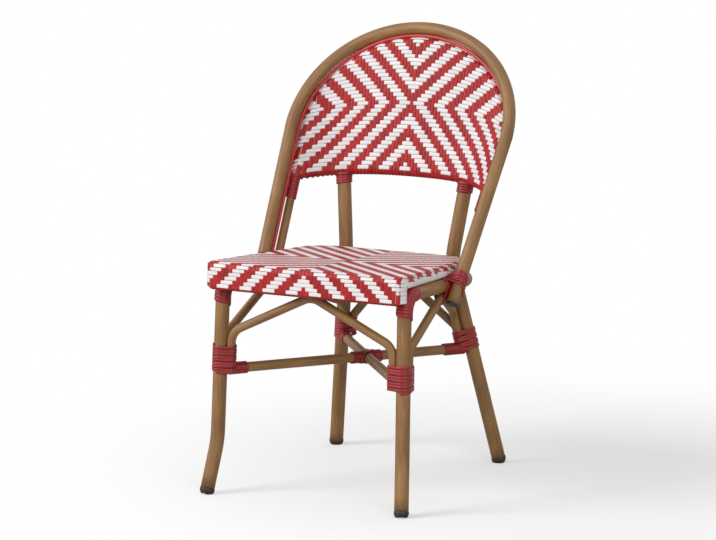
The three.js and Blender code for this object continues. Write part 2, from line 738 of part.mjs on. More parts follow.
// Turns round a bundle of straight bars: the strip follows the bundle's outline and climbs along an axis.
// On each bar it lies flat to the bar's own surface.
function bundleWinding(bars, axis, start, turns, firstAngle = 0) {
  const acrossX = point(1, 0, 0).addScaledVector(axis, -axis.x).normalize();
  const acrossY = axis.clone().cross(acrossX);
  const places = [];
  for (let i = 0; i <= turns * loopSteps; i++) {
    const angle = firstAngle + (2 * Math.PI * i) / loopSteps;
    const out = acrossX.clone().multiplyScalar(Math.cos(angle)).addScaledVector(acrossY, Math.sin(angle));
    const level = start.clone().addScaledVector(axis, (stripPitch * i) / loopSteps);
    const touches = bars.map(({ through, along, radius }) => {
      const slant = along.dot(axis);
      const face = out.clone().addScaledVector(axis, -out.dot(along) / slant).normalize();
      const onSurface = through.clone().addScaledVector(face, radius);
      const support = onSurface.addScaledVector(along, level.clone().sub(onSurface).dot(axis) / slant);
      return { reach: support.clone().sub(level).dot(out), support, face };
    });
    const { support, face } = touches.reduce((a, b) => (b.reach > a.reach ? b : a));
    places.push({ at: support.addScaledVector(face, wrapGap + stripThick / 2), out: face });
  }
  return places;
}

const bar = (through, along, diameter) => ({ through, along, radius: diameter / 2 });
const frontLashZ = stretcherZ + restRadius + wrapGap + stripThick + touchGap + stripWide / 2;
const rearLashZ = frontLashZ + touchGap + stripThick;
const lashSwing = Math.PI / 2;

for (const [name, side] of Object.entries(sides)) {
  const up = onSide(side, legUp);
  const frontBars = [
    bar(onSide(side, frontLegAt(frontArmEndZ)), up, legTube),
    bar(onSide(side, frontArmLow), up, braceTube),
    bar(onSide(side, sideArmFrontLow), up, braceTube),
  ];
  const frontStart = onSide(side, frontLegAt(frontLashZ));
  addWinding(`leg_lashing_front_${name}`, bundleWinding(frontBars, floorUp, frontStart, frontLegTurns, -lashSwing));
  const rearUp = onSide(side, rearLegUp);
  const rearBars = [
    bar(onSide(side, rearLegAt(rearArmEndZ)), rearUp, legTube),
    bar(onSide(side, rearArmLow), rearUp, braceTube),
    bar(onSide(side, sideArmRearLow), rearUp, braceTube),
  ];
  const rearTurnsFrom = onSide(side, rearLegAt(rearLashZ));
  addWinding(`leg_lashing_rear_${name}`, bundleWinding(rearBars, floorUp, rearTurnsFrom, rearLegTurns, lashSwing));
}

// Turns round the end of each stretcher, next to its leg
const stretcherClear = legTube / 2 + stripThick + stripWide / 2 + 2 * wrapGap;
const stretcherEnds = {
  front_left: [longFrom, crossing],
  rear_right: [longTo, crossing],
  front_right: [stretcherFront, crossing],
  rear_left: [onSide(sides.left, stretcherRear), crossing],
};
for (const [name, [from, to]] of Object.entries(stretcherEnds)) {
  const along = to.clone().sub(from).normalize();
  const start = from.clone().addScaledVector(along, stretcherClear);
  addWinding(`stretcher_lashing_${name}`, bundleWinding([bar(from, along, stretcherTube)], along, start, stretcherTurns));
}

// The crossing's lashing: turns on one side, a run over the top, and turns on the other side.
function crossWinding() {
  const along = longTo.clone().sub(longFrom).normalize();
  const up = point(0, 0, 1).addScaledVector(along, -along.z).normalize();
  const sidewise = along.clone().cross(up);
  const radius = restRadius + wrapGap + stripThick / 2;
  const turnRadius = stripWide;
  const halfRun = restRadius + stripWide;
  const quarter = Array.from({ length: crossSteps + 1 }, (_, i) => (i * Math.PI) / (2 * crossSteps));
  const outer = [];
  for (let i = crossTurns * loopSteps; i > 0; i--)
    outer.push([halfRun + turnRadius + (stripPitch * i) / loopSteps, turnRadius / radius + (2 * Math.PI * i) / loopSteps]);
  for (const q of quarter)
    outer.push([halfRun + turnRadius * (1 - Math.sin(q)), (turnRadius * Math.cos(q)) / radius]);
  const near = outer.map(([run, angle]) => [-run, -angle]);
  const far = [...outer].reverse();
  return [...near, ...far].map(([run, angle]) => {
    const out = up.clone().multiplyScalar(Math.cos(angle)).addScaledVector(sidewise, Math.sin(angle));
    return { at: crossing.clone().addScaledVector(along, run).addScaledVector(out, radius), out };
  });
}
addWinding("cross_lashing", crossWinding());

// Turns along a bent tube, in parts of so many turns over so long a run, from a given angle.
function bendWinding(line, diameter, start, firstAngle, parts) {
  const { tangents } = new StationPath(line).computeFrenetFrames();
  const lengths = [0];
  for (let i = 1; i < line.length; i++) lengths.push(lengths[i - 1] + line[i].distanceTo(line[i - 1]));
  const place = (run, angle) => {
    const i = lengths.findIndex((length) => length >= run);
    const share = (run - lengths[i - 1]) / (lengths[i] - lengths[i - 1]);
    const middle = line[i - 1].clone().lerp(line[i], share);
    const along = tangents[i - 1].clone().lerp(tangents[i], share).normalize();
    const across = point(1, 0, 0).addScaledVector(along, -along.x).normalize();
    const out = across.clone().multiplyScalar(Math.cos(angle));
    out.addScaledVector(along.clone().cross(across), Math.sin(angle));
    return { at: middle.addScaledVector(out, diameter / 2 + wrapGap + stripThick / 2), out };
  };
  const places = [];
  let run = start;
  let turned = 0;
  for (const { turns, length } of parts) {
    for (let i = 0; i < turns * loopSteps; i++) {
      places.push(place(run, firstAngle + (2 * Math.PI * turned) / loopSteps));
      run += length / (turns * loopSteps);
      turned++;
    }
  }
  places.push(place(run, firstAngle + (2 * Math.PI * turned) / loopSteps));
  return places;
}

// Elbow wraps: on the inner face the strip passes on each side of the front seat rail's end.
const elbowArc = elbowBend * elbowTurn;
const elbowSetback = elbowBend * Math.tan(elbowTurn / 2);
const besideRail = 2 * (restRadius + touchGap + 2 * wrapGap + stripWide / 2);
const elbowParts = [
  { turns: elbowLegTurns, length: elbowLegTurns * stripPitch },
  { turns: 1, length: (elbowArc - besideRail) / 2 },
  { turns: 1, length: besideRail },
  { turns: 1, length: (elbowArc - besideRail) / 2 },
  { turns: elbowRailTurns, length: elbowRailTurns * stripPitch },
];
for (const [name, side] of Object.entries(sides)) {
  const line = lineOn(side, [frontKnee, ...frontLegLine.filter((p) => p.z > frontKneeZ * 2)]);
  const start = frontKnee.distanceTo(elbow) - elbowSetback - elbowLegTurns * stripPitch;
  const inwardFace = side > 0 ? Math.PI : 0;
  addWinding(`elbow_wrap_${name}`, bendWinding(line, legTube, start, inwardFace, elbowParts));
}

// Hoop lashings: round the hoop's lower end, the side rail and the brace's peak together.
const hoopLashTilt = THREE.MathUtils.degToRad(50);
const hoopLashRun = 26;
for (const [name, side] of Object.entries(sides)) {
  const axis = point(0, Math.cos(hoopLashTilt), Math.sin(hoopLashTilt));
  const hoopSide = onSide(side, hoopAt(1)).sub(onSide(side, hoopAt(0))).normalize();
  const armBack = onSide(side, sideArmRearKnee).sub(onSide(side, sidePeak)).normalize();
  const armFront = onSide(side, sideArmFrontKnee).sub(onSide(side, sidePeak)).normalize();
  const bars = [
    bar(onSide(side, hoopAt(0)), hoopSide, hoopTube),
    bar(onSide(side, elbow), onSide(side, railAlong), legTube),
    bar(onSide(side, sidePeak), armBack, braceTube + 2 * wrapGap),
    bar(onSide(side, sidePeak), armFront, braceTube + 2 * wrapGap),
    bar(onSide(side, sideTop), onSide(side, railAlong), braceTube + 2 * wrapGap),
    bar(onSide(side, caneAt(0)), hoopSide, edgeCane),
  ];
  const start = onSide(side, hoopAt(0)).addScaledVector(hoopSide, hoopLashRun);
  addWinding(`hoop_lashing_${name}`, bundleWinding(bars, axis, start, hoopTurns));
}

// Turns round the heads of the posts and round the panel frame under the woven back
for (const [name, side] of Object.entries(sides)) {
  const along = onSide(side, postUp).negate();
  const head = onSide(side, postHead);
  const start = head.clone().addScaledVector(along, rimRadius + stripWide);
  addWinding(`post_wrap_${name}`, bundleWinding([bar(head, along, legTube)], along, start, postTurns));
  const from = onSide(side, frameAt(rimFootK));
  const down = onSide(side, frameAt(frameFootK)).sub(from).normalize();
  const first = from.clone().addScaledVector(down, stripWide);
  addWinding(`frame_wrap_${name}`, bundleWinding([bar(from, down, panelTube)], down, first, frameTurns));
}

console.log(`least gap of a winding to itself: ${narrowest.toFixed(2)} mm`);

// The chair stands centred on the origin.
chair.updateMatrixWorld(true);
const extent = new THREE.Box3().setFromObject(chair, true);
chair.position.set(0, -(extent.min.y + extent.max.y) / 2, -extent.min.z);

export default chair;
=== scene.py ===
"""Looks of a stacking bistro chair: cane-painted tube frame, twill-woven seat and back, and red lashings."""

from functools import partial
from math import acos, ceil, copysign, cos, pi, radians, sin, sqrt, tan

import bpy
import numpy as np
from mathutils import Matrix


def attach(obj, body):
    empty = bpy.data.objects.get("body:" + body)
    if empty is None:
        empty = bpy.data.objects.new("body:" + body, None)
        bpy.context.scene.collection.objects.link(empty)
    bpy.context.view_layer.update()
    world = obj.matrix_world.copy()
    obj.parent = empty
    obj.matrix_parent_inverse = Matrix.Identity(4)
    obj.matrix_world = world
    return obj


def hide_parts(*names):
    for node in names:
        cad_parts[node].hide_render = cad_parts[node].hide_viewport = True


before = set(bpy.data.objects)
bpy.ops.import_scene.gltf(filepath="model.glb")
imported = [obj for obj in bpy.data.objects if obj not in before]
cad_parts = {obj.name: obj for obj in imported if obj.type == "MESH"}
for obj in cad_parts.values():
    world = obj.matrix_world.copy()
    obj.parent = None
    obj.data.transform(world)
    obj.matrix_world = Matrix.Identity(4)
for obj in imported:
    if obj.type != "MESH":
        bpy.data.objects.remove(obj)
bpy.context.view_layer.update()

# Sizes are in millimetres, in the source's frame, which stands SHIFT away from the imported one.
SHIFT = np.array([0.0, -11.105, 0.0])
MILLIMETRE = 0.001

# The outer diameters of the tubes, and the gap left where two of them touch.
LEG, HOOP, PANEL, BRACE, STRETCHER, RING, APRON, CANE = 28, 25, 17, 17, 19.5, 18, 14, 8
TOUCH = 0.4

# The wound strip: its width, its thickness and the gap beneath it.
STRIP_WIDE, STRIP_THICK, REST = 5.7, 2.5, 0.12

# The seat: front edge, slope, half widths, depth, corner radii, and the cloth's height over its ring.
SEAT_FRONT_Y, SEAT_FRONT_Z, PITCH = -257.5, 463.8, radians(3.5)
SEAT_FRONT_HALF, SEAT_REAR_HALF, SEAT_DEPTH = 215, 182, 409
FRONT_ROUND, REAR_ROUND, CLOTH_RISE = 18, 80, 3


def point(*xyz):
    return np.array(xyz, float)


def unit(v):
    return v / np.maximum(np.linalg.norm(v, axis=-1, keepdims=True), 1e-12)


def dot(a, b):
    return np.sum(a * b, axis=-1, keepdims=True)


def mirrored(p, side=-1):
    return np.asarray(p) * np.array([side, 1, 1])


SIDES = {"left": mirrored, "right": partial(mirrored, side=1)}


def seat_point(across, back, up):
    """A place of the sloping seat, measured across, back from its front edge and up from its top."""
    y = SEAT_FRONT_Y + back * cos(PITCH) + up * sin(PITCH)
    z = SEAT_FRONT_Z - back * sin(PITCH) + up * cos(PITCH)
    return stacked(across, y, z)


def at_height(a, b, z):
    """Where the straight line through two points is at a height."""
    return a + (b - a) * (z - a[2]) / (b[2] - a[2])


def in_short_steps(line, run):
    """The same line with more points, none further than a run from the next."""
    out = [line[0]]
    for a, b in zip(line, line[1:]):
        n = max(1, ceil(np.linalg.norm(b - a) / run))
        out.extend(a + (b - a) * i / n for i in range(1, n + 1))
    return np.array(out)


def bent_line(corners, radii, step=radians(4), run=25.0):
    """Corners joined by straight runs and rounded by arcs, in short steps."""
    out = [corners[0]]
    for a, b, c, r in zip(corners, corners[1:], corners[2:], radii):
        inward, onward = unit(b - a), unit(c - b)
        turn = acos(np.clip(np.dot(inward, onward), -1, 1))
        start = b - inward * r * tan(turn / 2)
        side = unit(onward - inward * np.dot(onward, inward))
        t = np.linspace(0, turn, max(3, ceil(turn / step)))[:, None]
        out.extend(start + side * r - side * r * np.cos(t) + inward * r * np.sin(t))
    out.append(corners[-1])
    return in_short_steps(out, run)


def lengths(line):
    return np.r_[0, np.cumsum(np.linalg.norm(np.diff(line, axis=0), axis=1))]


def stacked(*parts):
    """Numbers of the same places, side by side as points."""
    return np.stack(np.broadcast_arrays(*parts), -1)


def tangents(line):
    return unit(np.gradient(line, axis=0))


def carried_normals(line):
    """Normals carried along a line without twist, the first one roughly upwards."""
    along, first = tangents(line), point(0.2, 0.3, 1.0)
    n = [unit(first - along[0] * np.dot(first, along[0]))]
    for t in along[1:]:
        n.append(unit(n[-1] - t * np.dot(n[-1], t)))
    return np.array(n)


# ---- meshes


class Surface:
    """Gathers swept grids into one mesh. Each grid is stations by places round the section.
    lay keeps where a point is on its strand: across, up and along, in metres. tone is one random number per strand."""

    def __init__(self):
        self.verts, self.lays, self.tones, self.quads, self.tris = [], [], [], [], []
        self.count = 0

    def add(self, grid, lay, tone=0.5):
        index = self.count + np.arange(grid[..., 0].size).reshape(grid.shape[:2])
        after = np.roll(index, -1, 1)
        self.quads.append(stacked(index[:-1], after[:-1], after[1:], index[1:]).reshape(-1, 4))
        self._points(grid.reshape(-1, 3), lay.reshape(-1, 3), tone)
        for row, flip in ((0, True), (-1, False)):
            pole = self.count
            self._points(grid[row].mean(0)[None], lay[row].mean(0)[None], tone)
            tri = stacked(index[row], after[row], pole)
            self.tris.append(tri[:, ::-1] if flip else tri)

    def _points(self, verts, lay, tone):
        self.verts.append(verts)
        self.lays.append(lay)
        self.tones.append(np.full(len(verts), tone))
        self.count += len(verts)

    def build(self, name, material, slot, replaced=None):
        """The gathered mesh as a piece that rides the chair, in place of the CAD node of that name or another."""
        verts = (np.concatenate(self.verts) + SHIFT) * MILLIMETRE
        quads = np.concatenate(self.quads)
        tris = np.concatenate(self.tris)
        loops = np.concatenate([quads.ravel(), tris.ravel()]).astype(np.int32)
        starts = np.concatenate([np.arange(len(quads)) * 4, quads.size + np.arange(len(tris)) * 3])
        mesh = bpy.data.meshes.new(name)
        mesh.vertices.add(len(verts))
        mesh.vertices.foreach_set("co", verts.astype(np.float32).ravel())
        mesh.loops.add(len(loops))
        mesh.loops.foreach_set("vertex_index", loops)
        mesh.polygons.add(len(starts))
        mesh.polygons.foreach_set("loop_start", starts.astype(np.int32))
        mesh.polygons.foreach_set("use_smooth", np.ones(len(starts), bool))
        mesh.update(calc_edges=True)
        lay = mesh.attributes.new("lay", "FLOAT_VECTOR", "POINT")
        lays = np.concatenate(self.lays) * MILLIMETRE
        lay.data.foreach_set("vector", lays.astype(np.float32).ravel())
        tone = mesh.attributes.new("tone", "FLOAT", "POINT")
        tone.data.foreach_set("value", np.concatenate(self.tones).astype(np.float32))
        piece = bpy.data.objects.new(name, mesh)
        bpy.context.scene.collection.objects.link(piece)
        mesh.materials.append(material)
        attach(piece, "root")
        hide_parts(replaced or name)
        return piece


# Each strand's place on its material and its tone are random, drawn in the same order each run.
rng = np.random.default_rng(7)
LAY_SPREAD = 900


def swept(surface, line, normals, section, thick=1.0, wide=1.0):
    """A section carried along a line: its first numbers go along the normal, times the thickness there, and its second
    ones across, times the width."""
    along = tangents(line)
    normals = unit(normals - along * dot(normals, along))
    across = np.cross(along, normals)
    high = np.broadcast_to(thick, len(line))[:, None] * section[None, :, 0]
    side = np.broadcast_to(wide, len(line))[:, None] * section[None, :, 1]
    grid = line[:, None] + normals[:, None] * high[..., None] + across[:, None] * side[..., None]
    start = rng.uniform(0, LAY_SPREAD)
    surface.add(grid, stacked(side, high, (lengths(line) + start)[:, None]), rng.uniform())


def round_section(diameter, faces):
    a = 2 * pi * np.arange(faces) / faces
    return stacked(np.cos(a), np.sin(a)) * diameter / 2


def strip_section(wide, faces=14, power=0.8):
    """A strip's section: an ellipse squared up, wide across and thin upwards."""
    a = 2 * pi * np.arange(faces) / faces
    c, s = np.cos(a), np.sin(a)
    high, side = np.sign(c) * np.abs(c) ** power, np.sign(s) * np.abs(s) ** power
    return stacked(high * STRIP_THICK / 2, side * wide / 2)


def all_round(axis, across, angle):
    """Directions out from an axis at each angle, counted from the one given."""
    return np.cos(angle)[:, None] * across + np.sin(angle)[:, None] * np.cross(axis, across)


def plug(name, profile, origin, axis, faces=48):
    """A black plug: a profile of radius and height, lowest first, turned about an axis."""
    s = Surface()
    a = 2 * pi * np.arange(faces) / faces
    ring = all_round(axis, unit(np.cross(axis, [0.3, 1, 0.1])), a)
    r, h = np.array(profile, float).T
    grid = origin + r[:, None, None] * ring[None] + h[:, None, None] * axis
    s.add(grid, stacked(r[:, None] * np.cos(a), r[:, None] * np.sin(a), h[:, None]))
    return s.build(name, BLACK, "black_plastic")


# ---- materials


def colour(hexes):
    """A written sRGB colour as linear numbers."""
    c = np.array([int(hexes[i : i + 2], 16) for i in (1, 3, 5)]) / 255
    lin = np.where(c <= 0.04045, c / 12.92, ((c + 0.055) / 1.055) ** 2.4)
    return (*lin, 1.0)


def node(tree, kind, inputs=None, **props):
    n = tree.nodes.new(kind)
    for key, value in props.items():
        setattr(n, key, value)
    for key, value in (inputs or {}).items():
        if isinstance(value, bpy.types.NodeSocket):
            tree.links.new(value, n.inputs[key])
        else:
            n.inputs[key].default_value = value
    return n


def result(tree, kind, inputs=None, **props):
    return node(tree, kind, inputs, **props).outputs[0]


def new_material(name):
    m = bpy.data.materials.new(name)
    m.use_nodes = True
    m.node_tree.nodes.clear()
    return m, m.node_tree


def ramp(tree, factor, stops):
    n = node(tree, "ShaderNodeValToRGB", {"Fac": factor})
    while len(n.color_ramp.elements) < len(stops):
        n.color_ramp.elements.new(0.5)
    for e, (place, hexes) in zip(n.color_ramp.elements, stops):
        e.position = place
        e.color = colour(hexes)
    return n.outputs["Color"]


def noise(tree, vector, scale, detail=2.0, rough=0.5, stretch=(1, 1, 1), at=(0, 0, 0)):
    """Noise of so many waves a metre, stretched along some of its own directions."""
    place = result(tree, "ShaderNodeMapping", {"Vector": vector, "Scale": stretch, "Location": at})
    inputs = {"Vector": place, "Scale": scale, "Detail": detail, "Roughness": rough}
    return node(tree, "ShaderNodeTexNoise", inputs).outputs["Fac"]


def lay_of(tree):
    return node(tree, "ShaderNodeAttribute", attribute_name="lay").outputs["Vector"]


def finish_surface(tree, base, roughness, height, distance, coat=0.0, coat_roughness=0.2, specular=0.5):
    """The shader, with fine relief so many metres deep, and the material's output."""
    bump = result(tree, "ShaderNodeBump", {"Height": height, "Strength": 1.0, "Distance": distance})
    inputs = {"Base Color": base, "Roughness": roughness, "Normal": bump}
    inputs |= {"Coat Weight": coat, "Coat Roughness": coat_roughness, "Specular IOR Level": specular}
    shader = result(tree, "ShaderNodeBsdfPrincipled", inputs)
    node(tree, "ShaderNodeOutputMaterial", {"Surface": shader})


def scaled(tree, value, low, high):
    """A value between 0 and 1 as one between low and high."""
    return result(tree, "ShaderNodeMapRange", {"Value": value, "To Min": low, "To Max": high})


def worked(tree, operation, a, b):
    return result(tree, "ShaderNodeMath", {0: a, 1: b}, operation=operation)


def blended(tree, share, a, b):
    return result(tree, "ShaderNodeMix", {"Factor": share, "A": a, "B": b}, data_type="FLOAT")


def cane_paint():
    """Tube painted to look like smoked cane, with fine lengthwise grain and a satin clear coat."""
    m, t = new_material("cane_paint_satin")
    lay = lay_of(t)
    grain = noise(t, lay, 520, 3, 0.62, (1, 1, 0.035))
    patches = noise(t, lay, 48, 2, 0.5, (1, 1, 0.28), (3, 1, 2))
    mix = blended(t, 0.42, grain, patches)
    base = ramp(t, mix, [(0.3, "#6b4723"), (0.47, "#876034"), (0.6, "#987040"), (0.74, "#ab8453")])
    finish_surface(t, base, scaled(t, grain, 0.42, 0.6), grain, 0.00012, coat=0.1, coat_roughness=0.36)
    return m


def resin(name, stops, waves, cloudy, share, spread, rough, depth, specular=0.5):
    """Coloured resin: faint ribs along the strand, cloudy patches, and a tone of its own for each strand."""
    m, t = new_material(name)
    lay = lay_of(t)
    ribs, cloud = noise(t, lay, waves, 2, 0.5, (1, 1, 0.02)), noise(t, lay, *cloudy)
    tone = node(t, "ShaderNodeAttribute", attribute_name="tone").outputs["Fac"]
    base = ramp(t, worked(t, "ADD", blended(t, share, ribs, cloud), scaled(t, tone, -spread, spread)), stops)
    finish_surface(t, base, scaled(t, cloud, *rough), ribs, depth, specular=specular)
    return m


def red_cane(name, stops):
    """Smooth, a little scuffed."""
    return resin(name, stops, 700, (90, 2, 0.55, (1, 1, 0.3), (5, 2, 1)), 0.45, 0.06, (0.34, 0.5), 0.00018)


def woven_strand(name, stops):
    """Softer and duller, of a soft satin."""
    return resin(name, stops, 900, (60, 2, 0.5, (1, 1, 0.4), (2, 4, 3)), 0.5, 0.08, (0.42, 0.56), 0.00012, 0.3)


def black_plastic():
    """Moulded black plastic of the plugs, finely grained and rubbed."""
    m, t = new_material("black_plastic_moulded")
    lay = lay_of(t)
    grain = noise(t, lay, 1400, 3, 0.6)
    rub = noise(t, lay, 140, 3, 0.5)
    base = ramp(t, rub, [(0.35, "#1e1b1b"), (0.65, "#302c2b")])
    finish_surface(t, base, scaled(t, rub, 0.4, 0.62), grain, 0.00006)
    return m


CANE_PAINT = cane_paint()
STRIP_STOPS = [(0.3, "#6e0f14"), (0.48, "#8e191c"), (0.62, "#a11f21"), (0.78, "#b8322f")]
# The edge cane's stops are the strips' red made brighter: a painted highlight along the round cane.
CANE_STOPS_PAINTED_HIGHLIGHT = [(0.3, "#a3272a"), (0.48, "#b93234"), (0.62, "#c43c3b"), (0.78, "#d04b48")]
RED_STRIP = red_cane("red_resin_strip", STRIP_STOPS)
RED_CANE_PAINTED_HIGHLIGHT = red_cane("red_resin_cane_painted_highlight", CANE_STOPS_PAINTED_HIGHLIGHT)
RED_WEAVE = woven_strand("woven_strand_red", [(0.28, "#86151a"), (0.5, "#a61d1f"), (0.72, "#b82c29")])
WHITE_WEAVE = woven_strand("woven_strand_white", [(0.28, "#d4d1d3"), (0.5, "#e6e2e2"), (0.72, "#efebe9")])
BLACK = black_plastic()

# ---- frame lines, as in the source

# Where the side rails bend, back from the seat's front edge, and the radii of the legs' bends.
ELBOW_BACK, RAIL_CORNER_BACK, RAIL_CORNER_OUT = 47, 359, 184.5
FRONT_KNEE_BEND, ELBOW_BEND, RAIL_CORNER_BEND, REAR_KINK_BEND = 200, 36, 80, 150
# Room for the lashings' strip between the seat ring and the rails below it.
WRAP_GAP, WRAP_THICK = 0.9, 2.2
RAIL_DROP = CLOTH_RISE + TOUCH + RING + WRAP_GAP + WRAP_THICK + TOUCH + LEG / 2
RAIL_END_FALL, RAIL_END_BACK = 0.01, 4
FOOT_HEIGHT = 12.5
front_foot, front_knee = point(212.6, -257.4, 0), point(201.4, -230.6, 105)
elbow = seat_point(196.4, ELBOW_BACK, -RAIL_DROP)
rail_corner = seat_point(RAIL_CORNER_OUT, RAIL_CORNER_BACK, -RAIL_DROP)
rear_foot, rear_kink = point(186.4, 253.1, 0), point(117.4, 162.4, 419)
rail_end = at_height(rear_foot, rear_kink, rail_corner[2] - (rail_corner[1] - elbow[1]) * RAIL_END_FALL)
front_start = at_height(front_foot, front_knee, FOOT_HEIGHT)
rear_start = at_height(rear_foot, rear_kink, FOOT_HEIGHT)
leg_up, rail_along = unit(elbow - front_knee), unit(rail_corner - elbow)
rear_up = unit(rear_kink - rear_foot)
rail_stop = rail_end - unit(rail_end - rail_corner) * RAIL_END_BACK
front_leg_corners = [front_start, front_knee, elbow, rail_corner, rail_stop]
front_leg_line = bent_line(front_leg_corners, [FRONT_KNEE_BEND, ELBOW_BEND, RAIL_CORNER_BEND])
front_leg_at, rear_leg_at = partial(at_height, front_knee, elbow), partial(at_height, rear_foot, rear_kink)


def rail_at(back):
    return elbow + (rail_corner - elbow) * (back - ELBOW_BACK) / (RAIL_CORNER_BACK - ELBOW_BACK)


# The hoop lies in one leaning plane: its lower end, half width, straight side's length and arch's rise.
LEAN = radians(32.87)
HOOP_UP, HOOP_BACK = point(0, sin(LEAN), cos(LEAN)), point(0, cos(LEAN), -sin(LEAN))
HOOP_END, HOOP_HALF, SIDE_RUN, ARCH_RISE = (215.5, -38.6, 380), 238.5, 359.2, 228.7
# Degrees round the hoop from straight inward to the panel frame: at the sides and at the top.
TURN_SIDE, TURN_TOP = 54, 5


def hoop_at(k):
    """The hoop's half outline: a straight side for k up to 1, then a quarter of an ellipse up to k = 2."""
    k = np.asarray(k, float)
    quarter = np.maximum(k - 1, 0) * pi / 2
    run = np.minimum(k, 1) * SIDE_RUN + ARCH_RISE * np.sin(quarter)
    out, back, up = HOOP_END
    across = np.where(k < 1, out + (HOOP_HALF - out) * k, HOOP_HALF * np.cos(quarter))
    return stacked(across, back, up) + run[..., None] * HOOP_UP


def beside_hoop(k, distance):
    """A line at one distance from the hoop, turned from straight inward towards the back."""
    k = np.asarray(k, float)
    step = 5e-4
    inward = np.cross(unit(hoop_at(k + step) - hoop_at(np.maximum(k - step, 0))), HOOP_BACK)
    inward = np.where(k[..., None] >= 2, -HOOP_UP, unit(inward))
    rise = np.sin(np.maximum(k - 1, 0) * pi / 2) ** 2
    turn = radians(TURN_SIDE) + radians(TURN_TOP - TURN_SIDE) * rise
    aside, behind = (distance * np.cos(turn))[..., None], (distance * np.sin(turn))[..., None]
    return hoop_at(k) + inward * aside + HOOP_BACK * behind


def whole_arch(at, start, steps=64, side_steps=24):
    """Both halves of a line like the hoop's, from its left end to its right one."""
    ks = np.r_[np.linspace(start, 1, side_steps)[:-1], np.linspace(1, 2, steps)]
    half = at(ks)
    return np.concatenate([mirrored(half), half[-2::-1]])


RIM_WEAVE = 2.4
RIM = PANEL / 2 + TOUCH + RIM_WEAVE
cane_at = partial(beside_hoop, distance=HOOP / 2 + TOUCH + CANE / 2)
frame_at = partial(beside_hoop, distance=HOOP / 2 + TOUCH + CANE + TOUCH + RIM)
# Where the panel frame ends and the bottom rail meets it, along the hoop, and that rail's middle.
FRAME_FOOT_K, CORNER_K = 66 / SIDE_RUN, 255 / SIDE_RUN
panel_corner, panel_top = frame_at(np.array(CORNER_K)), frame_at(np.array(2.0))
RAIL_Y, RAIL_Z = 205, 592

# ---- the woven back's surface

edge_line = frame_at(np.linspace(0.5, 2, 900))
MIDDLE_SLOPE = (panel_top[1] - RAIL_Y) / (panel_top[2] - RAIL_Z)
BOW = 4
LEAST_HALF, MOST_SHARE = 20, 1.15


def back_depth(x, z):
    """How far back the woven back is at a place: it bows back between the frame's sides."""
    top = panel_top[2] - 0.5
    inside = np.minimum(z, top)
    width = np.maximum(np.interp(inside, edge_line[:, 2], edge_line[:, 0]), LEAST_HALF)
    edge = np.interp(inside, edge_line[:, 2], edge_line[:, 1])
    middle = RAIL_Y + MIDDLE_SLOPE * (inside - RAIL_Z)
    share = np.minimum(np.abs(x) / width, MOST_SHARE)
    return edge + (middle - edge) * (1 - share**BOW) + (z - inside) * MIDDLE_SLOPE


def back_point(x, z):
    return stacked(x, back_depth(x, z), z)


def back_slopes(x, z):
    """How the surface runs for each millimetre across and for each one up."""
    d = 0.5
    across = back_point(x + d, z) - back_point(x - d, z)
    upward = back_point(x, z + d) - back_point(x, z - d)
    return across / (2 * d), upward / (2 * d)


def rail_height(x):
    """The bottom rail's height: a parabola between the frame's two sides."""
    return panel_corner[2] + (RAIL_Z - panel_corner[2]) * (1 - (np.asarray(x) / panel_corner[0]) ** 2)


rail_x = np.linspace(-1, 1, 81) * panel_corner[0]
bottom_rail_line = back_point(rail_x, rail_height(rail_x))

POST_OUT, POST_INTO_RAIL = 137.5, 3
post_head = back_point(np.array(POST_OUT), rail_height(POST_OUT))
post_up = unit(post_head - rear_kink)
post_end = post_head - post_up * (PANEL / 2 - POST_INTO_RAIL)
rear_leg_line = bent_line([rear_start, rear_kink, post_end], [REAR_KINK_BEND])

# ---- tubes

ARM_OUT = (LEG + BRACE) / 2 + TOUCH
UNDER = STRETCHER / 2 + TOUCH + BRACE / 2

# The braces' arms: the heights of their ends and knees, and how far round the rear legs they stand.
FRONT_ARM_Z, REAR_ARM_Z = 258.5, 261
FRONT_KNEE_Z, REAR_KNEE_Z, SIDE_FRONT_KNEE_Z, SIDE_REAR_KNEE_Z = 320.6, 287, 313, 320
REAR_ARM_TURN, SIDE_ARM_TURN = radians(-171), radians(-122)
ARM_BEND, REAR_ARM_BEND, PEAK_BEND = 34, 20, 40
SIDE_PEAK_BACK, REAR_RAIL_BACK, REAR_RAIL_INSET, STRETCHER_Z = 227.5, 396, 7, 244


def arm(leg_at, low, knee, turn):
    """The end and the knee of a brace's arm, which stands beside a leg, so far round it."""
    return [leg_at(z) + ARM_OUT * point(cos(turn), sin(turn), 0) for z in (low, knee)]


def bend_rise(turn, radius):
    """How far a bend's middle stays inside its corner."""
    return radius * (1 / cos(turn / 2) - 1)


def peak_lift(a, peak, c):
    """How much higher an arch's corner is than the top of its bend."""
    return bend_rise(acos(np.dot(unit(peak - a), unit(c - peak))), PEAK_BEND)


elbow_turn = acos(np.dot(leg_up, rail_along))
elbow_middle = elbow + unit(rail_along - leg_up) * bend_rise(elbow_turn, ELBOW_BEND)
ring_inset = CLOTH_RISE + TOUCH + RING / 2
rear_rail_drop = ring_inset + RING / 2 + TOUCH + STRETCHER / 2

